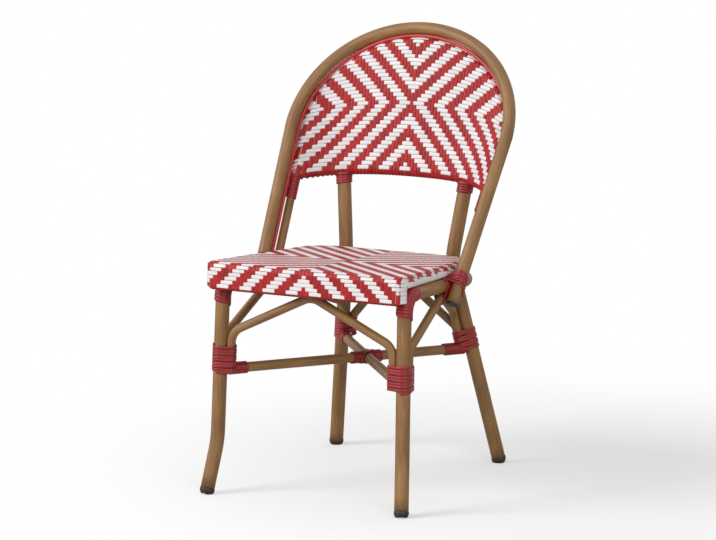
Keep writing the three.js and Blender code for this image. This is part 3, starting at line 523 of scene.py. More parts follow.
front_arm = arm(front_leg_at, FRONT_ARM_Z, FRONT_KNEE_Z, pi)
fall = sqrt(UNDER**2 - (elbow_middle[1] - front_arm[1][1]) ** 2)
front_peak = point(0, front_arm[1][1], elbow_middle[2] - fall)
rear_arm = arm(rear_leg_at, REAR_ARM_Z, REAR_KNEE_Z, REAR_ARM_TURN)
rear_peak = seat_point(0, REAR_RAIL_BACK, -rear_rail_drop) - point(0, 0, UNDER)
for (_, knee), peak in ((front_arm, front_peak), (rear_arm, rear_peak)):
    peak[2] += peak_lift(knee, peak, mirrored(knee))
side_front = arm(front_leg_at, FRONT_ARM_Z, SIDE_FRONT_KNEE_Z, pi / 2)
side_rear = arm(rear_leg_at, REAR_ARM_Z, SIDE_REAR_KNEE_Z, SIDE_ARM_TURN)
side_top = rail_at(SIDE_PEAK_BACK) - point(0, 0, ARM_OUT)
side_peak = side_top + point(0, 0, peak_lift(side_front[1], side_top, side_rear[1]))
side_arch = bent_line([*side_front, side_peak, *side_rear[::-1]], [ARM_BEND, PEAK_BEND, ARM_BEND])


def tube(name, line, diameter, faces=40, material=CANE_PAINT, slot="cane_paint"):
    s = Surface()
    swept(s, line, carried_normals(line), round_section(diameter, faces))
    s.build(name, material, slot)


def straight(name, start, end, faces=40):
    tube(name, bent_line([start, end], []), STRETCHER, faces)


def cross_arch(name, low, knee, peak, bend):
    """A brace from one arm over its peak to that arm's mirror image."""
    corners = [low, knee, peak, mirrored(knee), mirrored(low)]
    tube(name, bent_line(corners, [bend, PEAK_BEND, bend]), BRACE)


# The foot plugs' outer radius and taper, and the sole, which is pressed flatter below a height in metres.
FOOT_RADIUS, FOOT_TAPER = LEG / 2 + 0.7, 2.2
SOLE_EDGE, SOLE_SHARE = 0.0022, 0.45
# What a turned profile leaves open at its axis, for the poles to close.
AXIS = 0.01


def foot_plug(name, foot, up):
    """A tapered plug on a leg's lower end, with a rounded shoulder and a level sole."""
    rim, low, shoulder = FOOT_RADIUS, FOOT_RADIUS - FOOT_TAPER, FOOT_HEIGHT / up[2]
    profile = [(AXIS, 0.1), (low - 1.6, 0.1), (low, 1.2), (low + 0.5, 3.2), (rim - 0.6, 4.6), (rim, 6.2)]
    profile += [(rim, shoulder - 2.2), (rim - 0.25, shoulder - 1.1), (rim - 0.9, shoulder - 0.5)]
    profile += [(LEG / 2 - 2, shoulder - TOUCH), (AXIS, shoulder - TOUCH)]
    vertices = plug(name, profile, foot, up).data.vertices
    co = np.zeros(len(vertices) * 3, np.float32)
    vertices.foreach_get("co", co)
    co = co.reshape(-1, 3)
    co[:, 2] = np.where(co[:, 2] < SOLE_EDGE, np.maximum(co[:, 2], 0) * SOLE_SHARE, co[:, 2])
    vertices.foreach_set("co", co.ravel())


for name, on in SIDES.items():
    tube(f"front_leg_{name}", on(front_leg_line), LEG, 48)
    tube(f"rear_leg_{name}", on(rear_leg_line), LEG, 48)
    tube(f"{name}_arch_brace", on(side_arch), BRACE)
    foot_plug(f"foot_front_{name}", on(front_foot), on(unit(front_knee - front_foot)))
    foot_plug(f"foot_rear_{name}", on(rear_foot), on(rear_up))

tube("back_hoop", whole_arch(hoop_at, 0), HOOP, 48)
tube("back_panel_frame", whole_arch(frame_at, FRAME_FOOT_K), PANEL, 32)
# The edge cane takes the brighter red, a painted highlight along it.
tube("back_edge_cane", whole_arch(cane_at, 0, 90), CANE, 16, RED_CANE_PAINTED_HIGHLIGHT, "red_cane")
tube("back_bottom_rail", bottom_rail_line, PANEL, 32)
cross_arch("front_arch_brace", *front_arm, front_peak, ARM_BEND)
cross_arch("rear_arch_brace", *rear_arm, rear_peak, REAR_ARM_BEND)
straight("front_seat_rail", mirrored(elbow_middle), elbow_middle, 32)
rear_rail_out = RAIL_CORNER_OUT - (REAR_RAIL_BACK - RAIL_CORNER_BACK) - REAR_RAIL_INSET
rear_rail_tip = seat_point(rear_rail_out, REAR_RAIL_BACK, -rear_rail_drop)
straight("rear_seat_rail", mirrored(rear_rail_tip), rear_rail_tip, 32)

stretcher_front, stretcher_rear = front_leg_at(STRETCHER_Z), rear_leg_at(STRETCHER_Z)
long_from, long_to = mirrored(stretcher_front), stretcher_rear
crossing = long_from + (long_to - long_from) * (-long_from[0] / (long_to[0] - long_from[0]))
short_rear = mirrored(stretcher_rear)
straight("stretcher_long", long_from, long_to)
straight("stretcher_front_half", stretcher_front, crossing)
straight("stretcher_rear_half", short_rear, crossing)

cap, hoop_side = HOOP / 2, unit(hoop_at(1) - hoop_at(0))
cap_profile = [(AXIS, -4.9), (cap - 2.6, -4.9), (cap - 1.2, -4.5), (cap - 0.35, -3.6)]
cap_profile += [(cap - 0.1, -2.6), (cap - 0.1, -0.6), (cap - 0.7, -0.3), (AXIS, -0.3)]
for name, on in SIDES.items():
    plug(f"hoop_cap_{name}", cap_profile, on(hoop_at(0)), on(hoop_side))


def seat_outline(inset, front, step=radians(6)):
    """The seat's outline so far inside its edge, from the front's middle round to it again."""
    rear = REAR_ROUND - inset
    f, r = SEAT_FRONT_HALF - inset, SEAT_REAR_HALF - inset
    half = [point(0, inset, 0), point(f, inset, 0), point(r, SEAT_DEPTH - inset, 0)]
    return bent_line([*half, *mirrored(half[::-1])], [front, rear, rear, front], step, 12)


# The ring's tube starts and ends at a narrow joint in the middle of the rear.
RING_BEND, RING_JOINT = 22, 0.3
ring = seat_outline(ring_inset, RING_BEND)
split = int(np.argmax(ring[:, 0] < -0.01))
ring = np.concatenate([ring[split:-1], ring[:split]])
ring = ring[(ring[:, 1] < 390) | (np.abs(ring[:, 0]) > 1)]
joint = point(RING_JOINT, SEAT_DEPTH - ring_inset, 0)
ring = np.concatenate([[mirrored(joint)], ring, [joint]])
tube("seat_ring", seat_point(ring[:, 0], ring[:, 1], -ring_inset), RING, 28)

APRON_HALF, APRON_DROP, APRON_BEND = 178, 54, 13
apron_inset = CLOTH_RISE + TOUCH + APRON / 2
apron_end = point(APRON_HALF, ring_inset, -(ring_inset + RING / 2 + TOUCH))
apron_corner = point(APRON_HALF, apron_inset, -(APRON_DROP - apron_inset))
apron_corners = [mirrored(apron_end), mirrored(apron_corner), apron_corner, apron_end]
apron_line = bent_line(apron_corners, [APRON_BEND, APRON_BEND])
tube("apron_rail", seat_point(*apron_line.T), APRON, 24)

# ---- weaving

# A flat strand's section, in shares of its thickness and width: rounded on top, narrower beneath.
FLAT = [(0.1, -0.5), (0.39, -0.43), (0.5, -0.18), (0.5, 0.18), (0.39, 0.43), (0.1, 0.5)]
FLAT = np.array([*FLAT, (-0.45, 0.32), (-0.45, -0.32)])
FLOAT = 3
# How high a crossing and its two neighbours hold a strand, and where it changes over between them.
HELD, HELD_BY_NEXT = 0.76, 0.12
EASE_FROM, EASE_RUN = 0.15, 0.7


def weft_over(i, j):
    """The twill, three over and three under: true where the white strand floats over the red one. Each row steps by
    one, mirrored in both middle lines, which makes the X."""
    return np.mod(np.abs(i) - np.abs(j) - 1, 2 * FLOAT) < FLOAT


def eased(share):
    return share * share * (3 - 2 * share)


def float_height(position, over, lean):
    """How high a strand rides, from 1 on top to -1 beneath. Its crossings are at whole numbers, and it eases across
    between them, so that a float is crowned. A lean above 0 keeps it on top for longer."""
    low = np.floor(position)
    ease = eased(np.clip((position - low - EASE_FROM) / EASE_RUN, 0, 1))
    before, here, after, beyond = (np.where(over(low + k), 1.0, -1.0) for k in (-1, 0, 1, 2))
    a = HELD * here + HELD_BY_NEXT * (before + after)
    b = HELD * after + HELD_BY_NEXT * (here + beyond)
    f = a + (b - a) * ease
    return f + lean * (1 - f * f)


def reach_across(line, one_side, other_side, facing):
    """How far apart the lines on a strand's two sides are, across it and along the cloth."""
    apart = other_side - one_side
    for way in (tangents(line), facing):
        apart = apart - way * dot(apart, way)
    return np.linalg.norm(apart, axis=-1)


def add_strand(surface, middle, facing, lifted, wide, thick, keep):
    """One strand over each unbroken run of the places to keep, lifted so far off the cloth's middle layer."""
    line = middle + facing * lifted[:, None]
    wide, thick = np.broadcast_to(wide, len(line)), np.broadcast_to(thick, len(line))
    steps = np.diff(np.r_[0, keep, 0])
    for first, last in zip(np.flatnonzero(steps > 0), np.flatnonzero(steps < 0)):
        if last - first > 4:
            k = slice(first, last)
            swept(surface, line[k], facing[k], FLAT, thick[k], wide[k])


def build_woven(name, white, red):
    white.build(f"{name}_rows", WHITE_WEAVE, "woven_cane", name)
    red.build(f"{name}_uprights", RED_WEAVE, "woven_cane", name)


# The woven back. Places on it are x across and z up. Its cloth lies round the tubes at one radius, up to an angle, and
# its strands end there or where the other strands take over.
WARP_PITCH, WARP_FROM, ROW_MIDDLE = 7.8, -2.8, 725.7
COVER, CLOSED = PANEL / 2 + 1.45, 4.45
WRAP_END, SIDE_END, HEM_END, SWING_END = -CLOSED * COVER, -21, -9, -27
LAST_ROW, ROW_CLEAR, CELL = -16, 1.5, 2.4


def over_tube(s):
    """(distance inward, height out, turn) of the cloth so far along it: level inside the tube's middle, then round."""
    turn = np.clip(-s / COVER, 0, CLOSED)
    return np.maximum(s, 0) - COVER * np.sin(turn), COVER * np.cos(turn), turn


def rightward(way):
    """Flat directions square to others, on their right."""
    return stacked(way[:, 1], -way[:, 0])


side_edge = whole_arch(frame_at, CORNER_K - 0.06, 420, 160)[:, [0, 2]]
edge_in = rightward(tangents(side_edge))


def nearest(points, line, aside):
    """For each point the line's nearest one, the way aside there, and how far it is that way and in all."""
    apart = points[:, None] - line[None]
    n = np.argmin((apart * apart).sum(-1), 1)
    gap = points - line[n]
    return line[n], aside[n], (gap * aside[n]).sum(-1), np.linalg.norm(gap, axis=-1)


def back_cover(x, z):
    """Where the cloth's middle layer is at a flat place: the bowed sheet in front of the frame, then round the side
    frame or the bottom rail. Gives the point, the facing, how far inside the frame and the rail it is, and how upright
    the frame is."""
    x, z = np.broadcast_arrays(x, z)
    foot, inward, gap, away = nearest(stacked(x, z), side_edge, edge_in)
    gap = np.where(gap < 0, -away, gap)
    rz = rail_height(x)
    wraps, hems = gap < 0, (z < rz) & (gap >= 0)
    base = np.where(wraps[:, None], foot, stacked(x, np.maximum(z, rz)))
    ex, ez = back_slopes(base[:, 0], base[:, 1])
    facing = unit(np.cross(ex, ez))
    slope = ex * inward[:, :1] + ez * inward[:, 1:]
    inside = unit(slope)
    s1, s2 = gap * np.linalg.norm(slope, axis=-1), (z - rz) * np.linalg.norm(ez, axis=-1)
    d, h, turn = over_tube(np.where(wraps, s1, np.where(hems, s2, 0.0)))
    lean = np.where(wraps[:, None], inside, unit(ez))
    normal = facing * np.cos(turn)[:, None] - lean * np.sin(turn)[:, None]
    at = back_point(base[:, 0], base[:, 1]) + facing * h[:, None] + lean * d[:, None]
    return at, normal, s1, s2, np.abs(inward[:, 0])


# Rows lie closer further up, and the lowest ones droop less.
ROW_PITCH, PITCH_LOSS, DROOP_LEAST, DROOP_MORE, DROOP_ROWS, DROOP_HALF = 7.876, 0.0148, 11, 13, 14, 205


def row_height(j, x):
    """The height of row j: rows are counted up from the middle one, and each droops to both sides."""
    droop = DROOP_LEAST + DROOP_MORE * np.clip((j - LAST_ROW) / DROOP_ROWS, 0, 1)
    return ROW_MIDDLE + ROW_PITCH * j - PITCH_LOSS * j * j - droop * (x / DROOP_HALF) ** 2


row_counts = np.linspace(-24, 24, 193)
# A strand's thickness, its swing over a crossing, and how red and white ones lean in their floats.
STRAND, SWING, RED_LEAN, WHITE_LEAN = 1.5, 0.72, 0.3, -0.3
# The share of its room that a strand takes, and the least and most room it is given.
FILL, WARP_FILL, ROW_ROOM, WARP_ROOM = 0.97, 0.96, (4, 12), (4, 13)
# The rows wrap round the frame where it is more upright than this, and the red strands elsewhere.
UPRIGHT = 0.66
BACK_ROWS, BACK_WARPS, BACK_HALF, BACK_HEIGHTS = range(-18, 18), range(-29, 31), 264, (540, 905)


def woven_back():
    """White rows from side to side, and red uprights from the top to the bottom rail."""
    red, white = Surface(), Surface()
    x = np.arange(-BACK_HALF, BACK_HALF + 0.1, CELL)
    for j in BACK_ROWS:
        at, facing, s1, s2, upright = back_cover(x, row_height(j, x))
        low, high = (back_cover(x, row_height(j + half, x))[0] for half in (-0.5, 0.5))
        wide = np.clip(reach_across(at, low, high, facing), *ROW_ROOM) * FILL
        keep = s1 > np.where(upright > UPRIGHT, WRAP_END, SIDE_END)
        if j < LAST_ROW:
            keep &= s2 > ROW_CLEAR
        lifted = SWING * float_height((x - WARP_FROM) / WARP_PITCH, lambda i: weft_over(i, j), WHITE_LEAN)
        lifted = np.where(s1 < SWING_END, 0, lifted)
        add_strand(white, at, facing, lifted, wide, STRAND, keep)
    z = np.arange(*BACK_HEIGHTS, CELL)
    for i in BACK_WARPS:
        x0 = WARP_FROM + WARP_PITCH * i
        at, facing, s1, s2, upright = back_cover(x0, z)
        low, high = (back_cover(x0 + half, z)[0] for half in (-WARP_PITCH / 2, WARP_PITCH / 2))
        wide = np.clip(reach_across(at, low, high, facing), *WARP_ROOM) * WARP_FILL
        keep = s1 > np.where(upright < UPRIGHT, WRAP_END, SIDE_END)
        keep &= s2 > np.where(s1 < 2, HEM_END, WRAP_END)
        j = np.interp(z, row_height(row_counts, x0), row_counts)
        lifted = SWING * float_height(j, lambda r: ~weft_over(i, r), RED_LEAN)
        # Below the last row that crosses it, an upright lies flat.
        lower_rows = row_height(np.array([LAST_ROW - 1, LAST_ROW - 2]), x0)
        lowest = LAST_ROW - np.sum(lower_rows > rail_height(x0) + ROW_CLEAR)
        lifted = np.where((s1 < SWING_END) | (s2 < 0) | (j < lowest - 0.6), -0.2, lifted)
        add_strand(red, at, facing, lifted, wide, STRAND, keep)
    # A red layer right round the bottom rail, beneath the uprights that are wound on it.
    core = slice(2, -2)
    swept(red, bottom_rail_line[core], carried_normals(bottom_rail_line)[core], round_section(PANEL + 1.4, 28))
    build_woven("woven_back", white, red)


woven_back()

# The woven seat. Flat places are x across and s back from the front edge. Below the front shoulder s runs on down the
# apron. The cloth turns down so far inside the seat's edge, at one radius, and round the apron's hem at another.
SEAT_WARP, SEAT_ROW, APRON_ROW, SEAT_FROM = 8.38, 7.2, 7.9, 3.0
TURN_IN, TURN_RADIUS, HEM_RADIUS = 12.4, 11.5, 7.6
SHOULDER_END = TURN_IN - TURN_RADIUS * pi / 2
APRON_FACE = -47.4 + TURN_IN
HEM_START = SHOULDER_END + APRON_FACE
# Rows are counted from the seat's middle: the shoulder starts at one and the apron at another.
SHOULDER_ROW, APRON_FIRST = 25, 27
SEAT_MIDDLE = SHOULDER_END + APRON_FIRST * SEAT_ROW
SEAT_STRAND, WRAP_STRAND, SEAT_SWING, RED_UP = 1.0, 1.7, 0.32, 0.12
# How far the cloth runs on past the turn: the rows' visible part and their ends, and the front corners' rounding.
SIDE_REACH, CLOTH_REACH = 16.5, TURN_RADIUS * 3.3
CORNER_RADIUS, CORNER_FROM = 17.1, 195.6
ROW_CELL = 2.7
SEAT_ROWS, SEAT_WARPS, SEAT_HALF, SEAT_RUN = range(-31, 32), range(-27, 28), 250, (-66, 446)
# How far rows run back round the front corners, and how near the corners they lie flat.
APRON_BACK, SHOULDER_BACK, CORNER_FLAT = 21, 9, 8.5
# Where red strands follow the front profile, where the outermost ones end, from which row and reach they lie flat, and
# where the seat's edge counts as facing sideways.
FRONT_END, OUTER_END, OUTERMOST, FLAT_ROW, FLAT_REACH, SIDEWAYS = 17, 16, 7, 31.6, 18, 0.75


def front_profile(s):
    """(back, up, heading) of the cloth from the seat over the front shoulder, down the apron and round its hem."""
    a = np.clip((TURN_IN - s) / TURN_RADIUS, 0, pi / 2)
    b = np.clip((HEM_START - s) / HEM_RADIUS, 0, pi * 1.25)
    drop = np.clip(SHOULDER_END - s, 0, -APRON_FACE)
    back = np.maximum(s, TURN_IN) - TURN_RADIUS * np.sin(a) + HEM_RADIUS * (1 - np.cos(b))
    up = -TURN_IN + TURN_RADIUS * np.cos(a) - drop - HEM_RADIUS * np.sin(b)
    return back, up, a + b


ring_line = in_short_steps(seat_outline(TURN_IN, FRONT_ROUND - TURN_IN, radians(3))[:, :2], 1.0)[:-1]
ring_out = rightward(unit(np.roll(ring_line, -1, 0) - np.roll(ring_line, 1, 0)))


def seat_cover(x, back):
    """Where the cloth's middle layer is at a flat place: level on top, then round the ring that it is stretched on."""
    p = stacked(x, back)
    foot, outward, gap, away = nearest(p, ring_line, ring_out)
    gap = np.where(gap > 0, np.maximum(gap, away), gap)
    phi = np.clip(gap / TURN_RADIUS, 0, 4)
    flat = np.where((gap > 0)[:, None], foot + outward * (TURN_RADIUS * np.sin(phi))[:, None], p)
    up = -TURN_IN + TURN_RADIUS * np.cos(phi)
    local = np.concatenate([outward * np.sin(phi)[:, None], np.cos(phi)[:, None]], 1)
    return flat[:, 0], flat[:, 1], up, local, gap, outward


def seat_facing(local):
    """Directions of the seat's own frame in the chair's."""
    return unit(seat_point(*local.T) - seat_point(0, 0, 0))


# Rows lie evenly on the seat, a little wider over the shoulder and wider still on the apron.
row_js = np.arange(-40, 41.0)
row_steps = [SEAT_MIDDLE + 40 * SEAT_ROW, -60 * SEAT_ROW, -7 * SEAT_ROW - 2.3, -14 * APRON_ROW]
row_ss = np.interp(row_js, [-40, 20, APRON_FIRST, 41], np.cumsum(row_steps))


def row_place(j):
    """How far along the flattened cloth a row lies: j counts from the middle row towards the front."""
    return np.interp(j, row_js, row_ss)


def row_number(s):
    return np.interp(s, row_ss[::-1], row_js[::-1])


def corner_row(s, reach):
    """Half a row of the apron or shoulder seen from above: straight, round the corner, and back along the side."""
    back, up, head = (float(v[0]) for v in front_profile(np.array([s])))
    inset = max(back, 0.0)
    lean = (SEAT_FRONT_HALF - SEAT_REAR_HALF) / SEAT_DEPTH
    a, b = point(0, inset, 0), point(SEAT_FRONT_HALF - inset, inset, 0)
    c = point(SEAT_FRONT_HALF - inset - lean * reach, inset + reach, 0)
    return bent_line([a, b, c], [max(FRONT_ROUND - inset, 2)], radians(9), ROW_CELL), up, head


def woven_seat():
    """White rows across the seat and round the apron, and red uprights from the rear to the apron's hem."""
    red, white = Surface(), Surface()
    for j in SEAT_ROWS:
        s = float(row_place(j))
        wide = (APRON_ROW if j > APRON_FIRST else SEAT_ROW) * FILL
        if j >= SHOULDER_ROW:
            half, up, head = corner_row(s, APRON_BACK if j >= APRON_FIRST else SHOULDER_BACK)
            path = np.concatenate([mirrored(half[::-1]), half[1:]])
            tip = min(head, pi / 2)
            outward = rightward(tangents(path[:, :2]))
            local = np.concatenate([outward * sin(tip), np.full((len(path), 1), cos(tip))], 1)
            x, back, high = path[:, 0], path[:, 1], np.full(len(path), up)
            across, wrapped = x, np.abs(x) > SEAT_FRONT_HALF - CORNER_FLAT
        else:
            x = np.arange(-SEAT_HALF, SEAT_HALF + 0.1, ROW_CELL)
            *cover, gap, _ = seat_cover(x, np.full_like(x, s))
            keep = gap < CLOTH_REACH
            across, back, high, local = (c[keep] for c in cover)
            wrapped = gap[keep] > SIDE_REACH
            x = x[keep]
        facing = seat_facing(local)
        lifted = SEAT_SWING * float_height((x - SEAT_FROM) / SEAT_WARP, lambda i: weft_over(i, j), WHITE_LEAN)
        lifted = np.where(wrapped, 0.1, lifted)
        thick = np.where(wrapped, WRAP_STRAND, SEAT_STRAND)
        add_strand(white, seat_point(across, back, high), facing, lifted, wide, thick, np.full(len(x), True))
    for i in SEAT_WARPS:
        x0 = SEAT_FROM + SEAT_WARP * i
        s = np.arange(*SEAT_RUN, CELL)
        across, back, high, local, gap, outward = seat_cover(np.full_like(s, x0), s)
        front = s < FRONT_END
        fb, fu, head = front_profile(s)
        low = np.clip(head / (pi / 2), 0, 1)
        side = max(abs(x0) - SEAT_FRONT_HALF + TURN_IN + 1.2, 0) / TURN_RADIUS
        turn = min(max(abs(x0) - CORNER_FROM, 0) / CORNER_RADIUS, 1)
        dip = (1 - low) * TURN_RADIUS * (1 - cos(side))
        dip = dip + low * CORNER_RADIUS * (1 - sqrt(1 - turn * turn))
        aside = copysign(1, x0) * ((1 - low) * sin(side) + low * turn)
        over_front = stacked(aside, -np.sin(head), np.cos(head))
        across = np.where(front, x0, across)
        back = np.where(front, fb + dip * np.sin(head), back)
        high = np.where(front, fu - dip * np.cos(head), high)
        local = np.where(front[:, None], over_front, local)
        gap = np.where(front, 0, gap)
        sideways = np.abs(outward[:, 0]) > SIDEWAYS
        keep = gap < np.where(sideways, SIDE_REACH, CLOTH_REACH)
        keep &= (s > OUTER_END) | (abs(x0) < SEAT_FRONT_HALF - OUTERMOST)
        facing = seat_facing(local)
        lifted = RED_UP + SEAT_SWING * float_height(row_number(s), lambda r: ~weft_over(i, r), RED_LEAN)
        lifted = np.where((s < float(row_place(FLAT_ROW))) | (gap > FLAT_REACH), -0.1, lifted)
        lifted = np.where(sideways & (gap > SIDE_REACH - 2), -0.3, lifted)
        at, facing, lifted, keep = (v[::-1] for v in (seat_point(across, back, high), facing, lifted, keep))
        add_strand(red, at, facing, lifted, SEAT_WARP * FILL, SEAT_STRAND, keep)
    build_woven("woven_seat", white, red)


woven_seat()

# ---- lashings

# Steps in one turn, and the sections of the usual strip and of the broad one round the elbows.
LOOP = 60
STRIP, BROAD_STRIP = strip_section(STRIP_WIDE), strip_section(7.4)
UP = point(0, 0, 1)


def bundle_turns(bars, axis, start, turns, first, pitch, wobble=0.0):
    """Turns round a bundle of straight bars, each given as a point, a direction and a diameter: at each angle the strip
    rests on the bar that reaches furthest out, and climbs by one pitch a turn along the axis, a little unevenly."""
    across = unit(np.cross(axis, UP)) if abs(axis[2]) < 0.9 else unit(point(1, 0, 0) - axis * axis[0])
    n = int(round(turns * LOOP)) + 1
    angle = first + 2 * pi * np.arange(n) / LOOP
    out = all_round(axis, across, angle)
    climb = pitch * np.arange(n) / LOOP + wobble * np.sin(angle * 0.5 + 1.3)
    level = start + axis * climb[:, None]
    best = np.full(n, -np.inf)
    at, face = np.zeros((n, 3)), np.zeros((n, 3))
    for through, along, diameter in bars:
        slant = np.dot(along, axis)
        flat = unit(out - axis * (out @ along)[:, None] / slant)
        surface = through + flat * (diameter / 2)
        surface = surface + along * (((level - surface) @ axis) / slant)[:, None]
        reach = ((surface - level) * out).sum(-1)
        won = reach > best
        best = np.where(won, reach, best)
        at[won], face[won] = surface[won], flat[won]
    return at + face * (REST + STRIP_THICK / 2), face


def lashing(name, *windings, section=STRIP):
    """One piece of wound strip, from lines with a facing at each place."""
    s = Surface()
    for at, face in windings:
        swept(s, at, face, section)
    s.build(name, RED_STRIP, "red_cane")


# A keeper's ends: how far they run on, how deep they are tucked in and over what length.
TUCK_RUN, TUCK_DEPTH, TUCK_EASE = 7, 3.0, 9


def keeper(middle, along, out, start, end, reach):
    """A strip laid over finished turns, along the bar, its two ends tucked under them."""
    run = np.linspace(start - TUCK_RUN, end + TUCK_RUN, 48)
    ease = eased(np.clip(np.minimum(run - start + TUCK_RUN, end + TUCK_RUN - run) / TUCK_EASE, 0, 1))
    at = middle + along * run[:, None] + out * (reach - TUCK_DEPTH * (1 - ease))[:, None]
    return at, np.broadcast_to(out, at.shape)


def heading(degrees, along):
    """A direction square to a bar, at so many degrees round from the chair's right towards its back."""
    a = radians(degrees)
    d = point(cos(a), sin(a), 0)
    return unit(d - along * np.dot(d, along))


def leg_bars(leg, *arms, along):
    return [(leg, along, LEG), *((arm, along, BRACE) for arm in arms)]


# The front leg lashings' starting heights and turns, and how many degrees the rear ones slant.
FRONT_TURNS = {"left": (240.0, 8.9), "right": (236.0, 8.2)}
REAR_TILT = {"left": 8, "right": 17}
for name, on in SIDES.items():
    up = on(leg_up)
    bars = leg_bars(on(front_leg_at(FRONT_ARM_Z)), on(front_arm[0]), on(side_front[0]), along=up)
    low, turns = FRONT_TURNS[name]
    windings = [bundle_turns(bars, UP, on(front_leg_at(low)), turns, -pi / 2, 6.1, 0.7)]
    if name == "left":
        windings.append(keeper(on(front_leg_at(251)), up, heading(-22, up), -6, 14, LEG / 2 + 4.6))
    lashing(f"leg_lashing_front_{name}", *windings)
    up = on(rear_up)
    bars = leg_bars(on(rear_leg_at(REAR_ARM_Z)), on(rear_arm[0]), on(side_rear[0]), along=up)
    tilt = radians(REAR_TILT[name])
    axis = unit(point(-sin(tilt), 0, cos(tilt)))
    windings = [bundle_turns(bars, axis, on(rear_leg_at(242)), 7.2, pi / 2, 6.0, 0.9)]
    facing = heading(-76 if name == "left" else -104, up)
    windings.append(keeper(on(rear_leg_at(252)), up, facing, -8, 21, LEG / 2 + 4.8))
    lashing(f"leg_lashing_rear_{name}", *windings)

clear = LEG / 2 + 2 + STRIP_WIDE / 2
starts = {"front_left": long_from, "rear_right": long_to, "front_right": stretcher_front, "rear_left": short_rear}
for (name, start), turns in zip(starts.items(), (7.6, 9.0, 6.4, 6.4)):
    along = unit(crossing - start)
    winding = bundle_turns([(start, along, STRETCHER)], along, start + along * clear, turns, 0.4, 4.9)
    lashing(f"stretcher_lashing_{name}", winding)

# The crossing: turns round the long stretcher on each side of it, and two diagonal groups over both bars.
along, cut = unit(long_to - long_from), unit(short_rear - stretcher_front)
bars, windings = [(crossing, along, STRETCHER), (crossing, cut, STRETCHER)], []
for way, turns in ((along, 3.3), (-along, 4.2)):
    windings.append(bundle_turns([(crossing, way, STRETCHER)], way, crossing + way * 13, turns, 1.0, 5.0))
for k, axis in enumerate((unit(along + cut), unit(along - cut))):
    axis = unit(axis * point(1, 1, 0))
    at, face = bundle_turns(bars, axis, crossing - axis * 7.5, 3.0, 0.6, 5.0)
    windings.append((at + face * (STRIP_THICK * 0.55 * k), face))
lashing("cross_lashing", *windings)


def bend_turns(line, diameter, stops, counts, slope):
    """Turns along a bent tube, so many between each two lengths, each laid aslant: lower on the tube's right side."""
    run_of = lengths(line)
    turn_counts = np.r_[0, np.cumsum(counts)]
    n = int(turn_counts[-1] * LOOP) + 1
    run = np.interp(np.arange(n) / LOOP, turn_counts, stops)
    middle, along = (stacked(*(np.interp(run, run_of, c) for c in v.T)) for v in (line, tangents(line)))
    along = unit(along)
    angle = 2 * pi * np.arange(n) / LOOP
    out = all_round(along, unit(point(1, 0, 0) - along * along[:, :1]), angle)
    aslant = along * (-slope * diameter / 2 * np.cos(angle))[:, None]
    return middle + out * (diameter / 2 + REST + STRIP_THICK / 2) + aslant, out


# The elbow wraps: how far they reach down the leg and back along the rail, their pitches there and in the bend, and
# their slant.
WRAP_DOWN, WRAP_ALONG = {"left": 9, "right": 5}, 11
WRAP_PITCH, BEND_PITCH, WRAP_SLANT = 6.4, 5.0, 0.26
bend_from = np.linalg.norm(elbow - front_knee) - ELBOW_BEND * tan(elbow_turn / 2)
bend_to = bend_from + ELBOW_BEND * elbow_turn
wrapped_line = np.concatenate([[front_knee], front_leg_line[front_leg_line[:, 2] > 210]])
HOOP_TILT, HOOP_RUN = radians(20), 26

for name, on in SIDES.items():
    stops = [bend_from - WRAP_DOWN[name], bend_from + 2, bend_to, bend_to + WRAP_ALONG]
    counts = [(stops[1] - stops[0]) / WRAP_PITCH, (stops[2] - stops[1]) / BEND_PITCH, WRAP_ALONG / WRAP_PITCH]
    lashing(f"elbow_wrap_{name}", bend_turns(on(wrapped_line), LEG, stops, counts, WRAP_SLANT), section=BROAD_STRIP)

    # Slanting turns round the hoop, its cane and the rail, then two groups round the rail and the side brace's top.
    axis = point(0, cos(HOOP_TILT), sin(HOOP_TILT))
    end, side, rail = on(hoop_at(0)), on(hoop_side), on(rail_along)
    bars = [(end, side, HOOP), (on(elbow), rail, LEG), (on(cane_at(0)), side, CANE)]
    windings = [bundle_turns(bars, axis, end + side * HOOP_RUN, 5.4, 0.0, 4.75, 0.4)]
    for knee, way, offset, turns in ((side_front[1], 1, -11.0, 3.4), (side_rear[1], -1, 27.0, 2.4)):
        arm_way = unit(on(side_peak - knee)) * way
        bars = [(on(elbow), rail, LEG), (on(side_top), rail, BRACE), (on(side_peak), arm_way, BRACE)]
        windings.append(bundle_turns(bars, rail, on(side_top) + rail * offset, turns, 0.0, 5.0))
    lashing(f"hoop_lashing_{name}", *windings)

    # The first turn round a post stands off it like a collar, against the cloth on the bottom rail.
    along, head = -on(post_up), on(post_head)
    at, face = bundle_turns([(head, along, LEG)], along, head + along * (RIM - 4), 3.8, 0.0, 5.4)
    collar = np.clip(1.2 - np.arange(len(at)) / LOOP, 0, 1) * 2.2
    lashing(f"post_wrap_{name}", (at + face * collar[:, None], face))
    top, bottom = on(frame_at(CORNER_K)), on(frame_at(FRAME_FOOT_K))
    down = unit(bottom - top)
    lashing(f"frame_wrap_{name}", bundle_turns([(top, down, PANEL)], down, top + down * 1.5, 8.8, 0.0, 5.7))

# ---- stage, light and camera

# In metres: the floor's width, its place just below the feet, and where the shadow on it is kept.
FLOOR_SIZE, FLOOR_BELOW = 60, 0.0003
SHADOW_MIDDLE, SHADOW_FROM, SHADOW_TO = (0.3, 0.12, 0), 0.35, 1.15
WHITE, RGB = (1, 1, 1, 1), ("Red", "Green", "Blue")


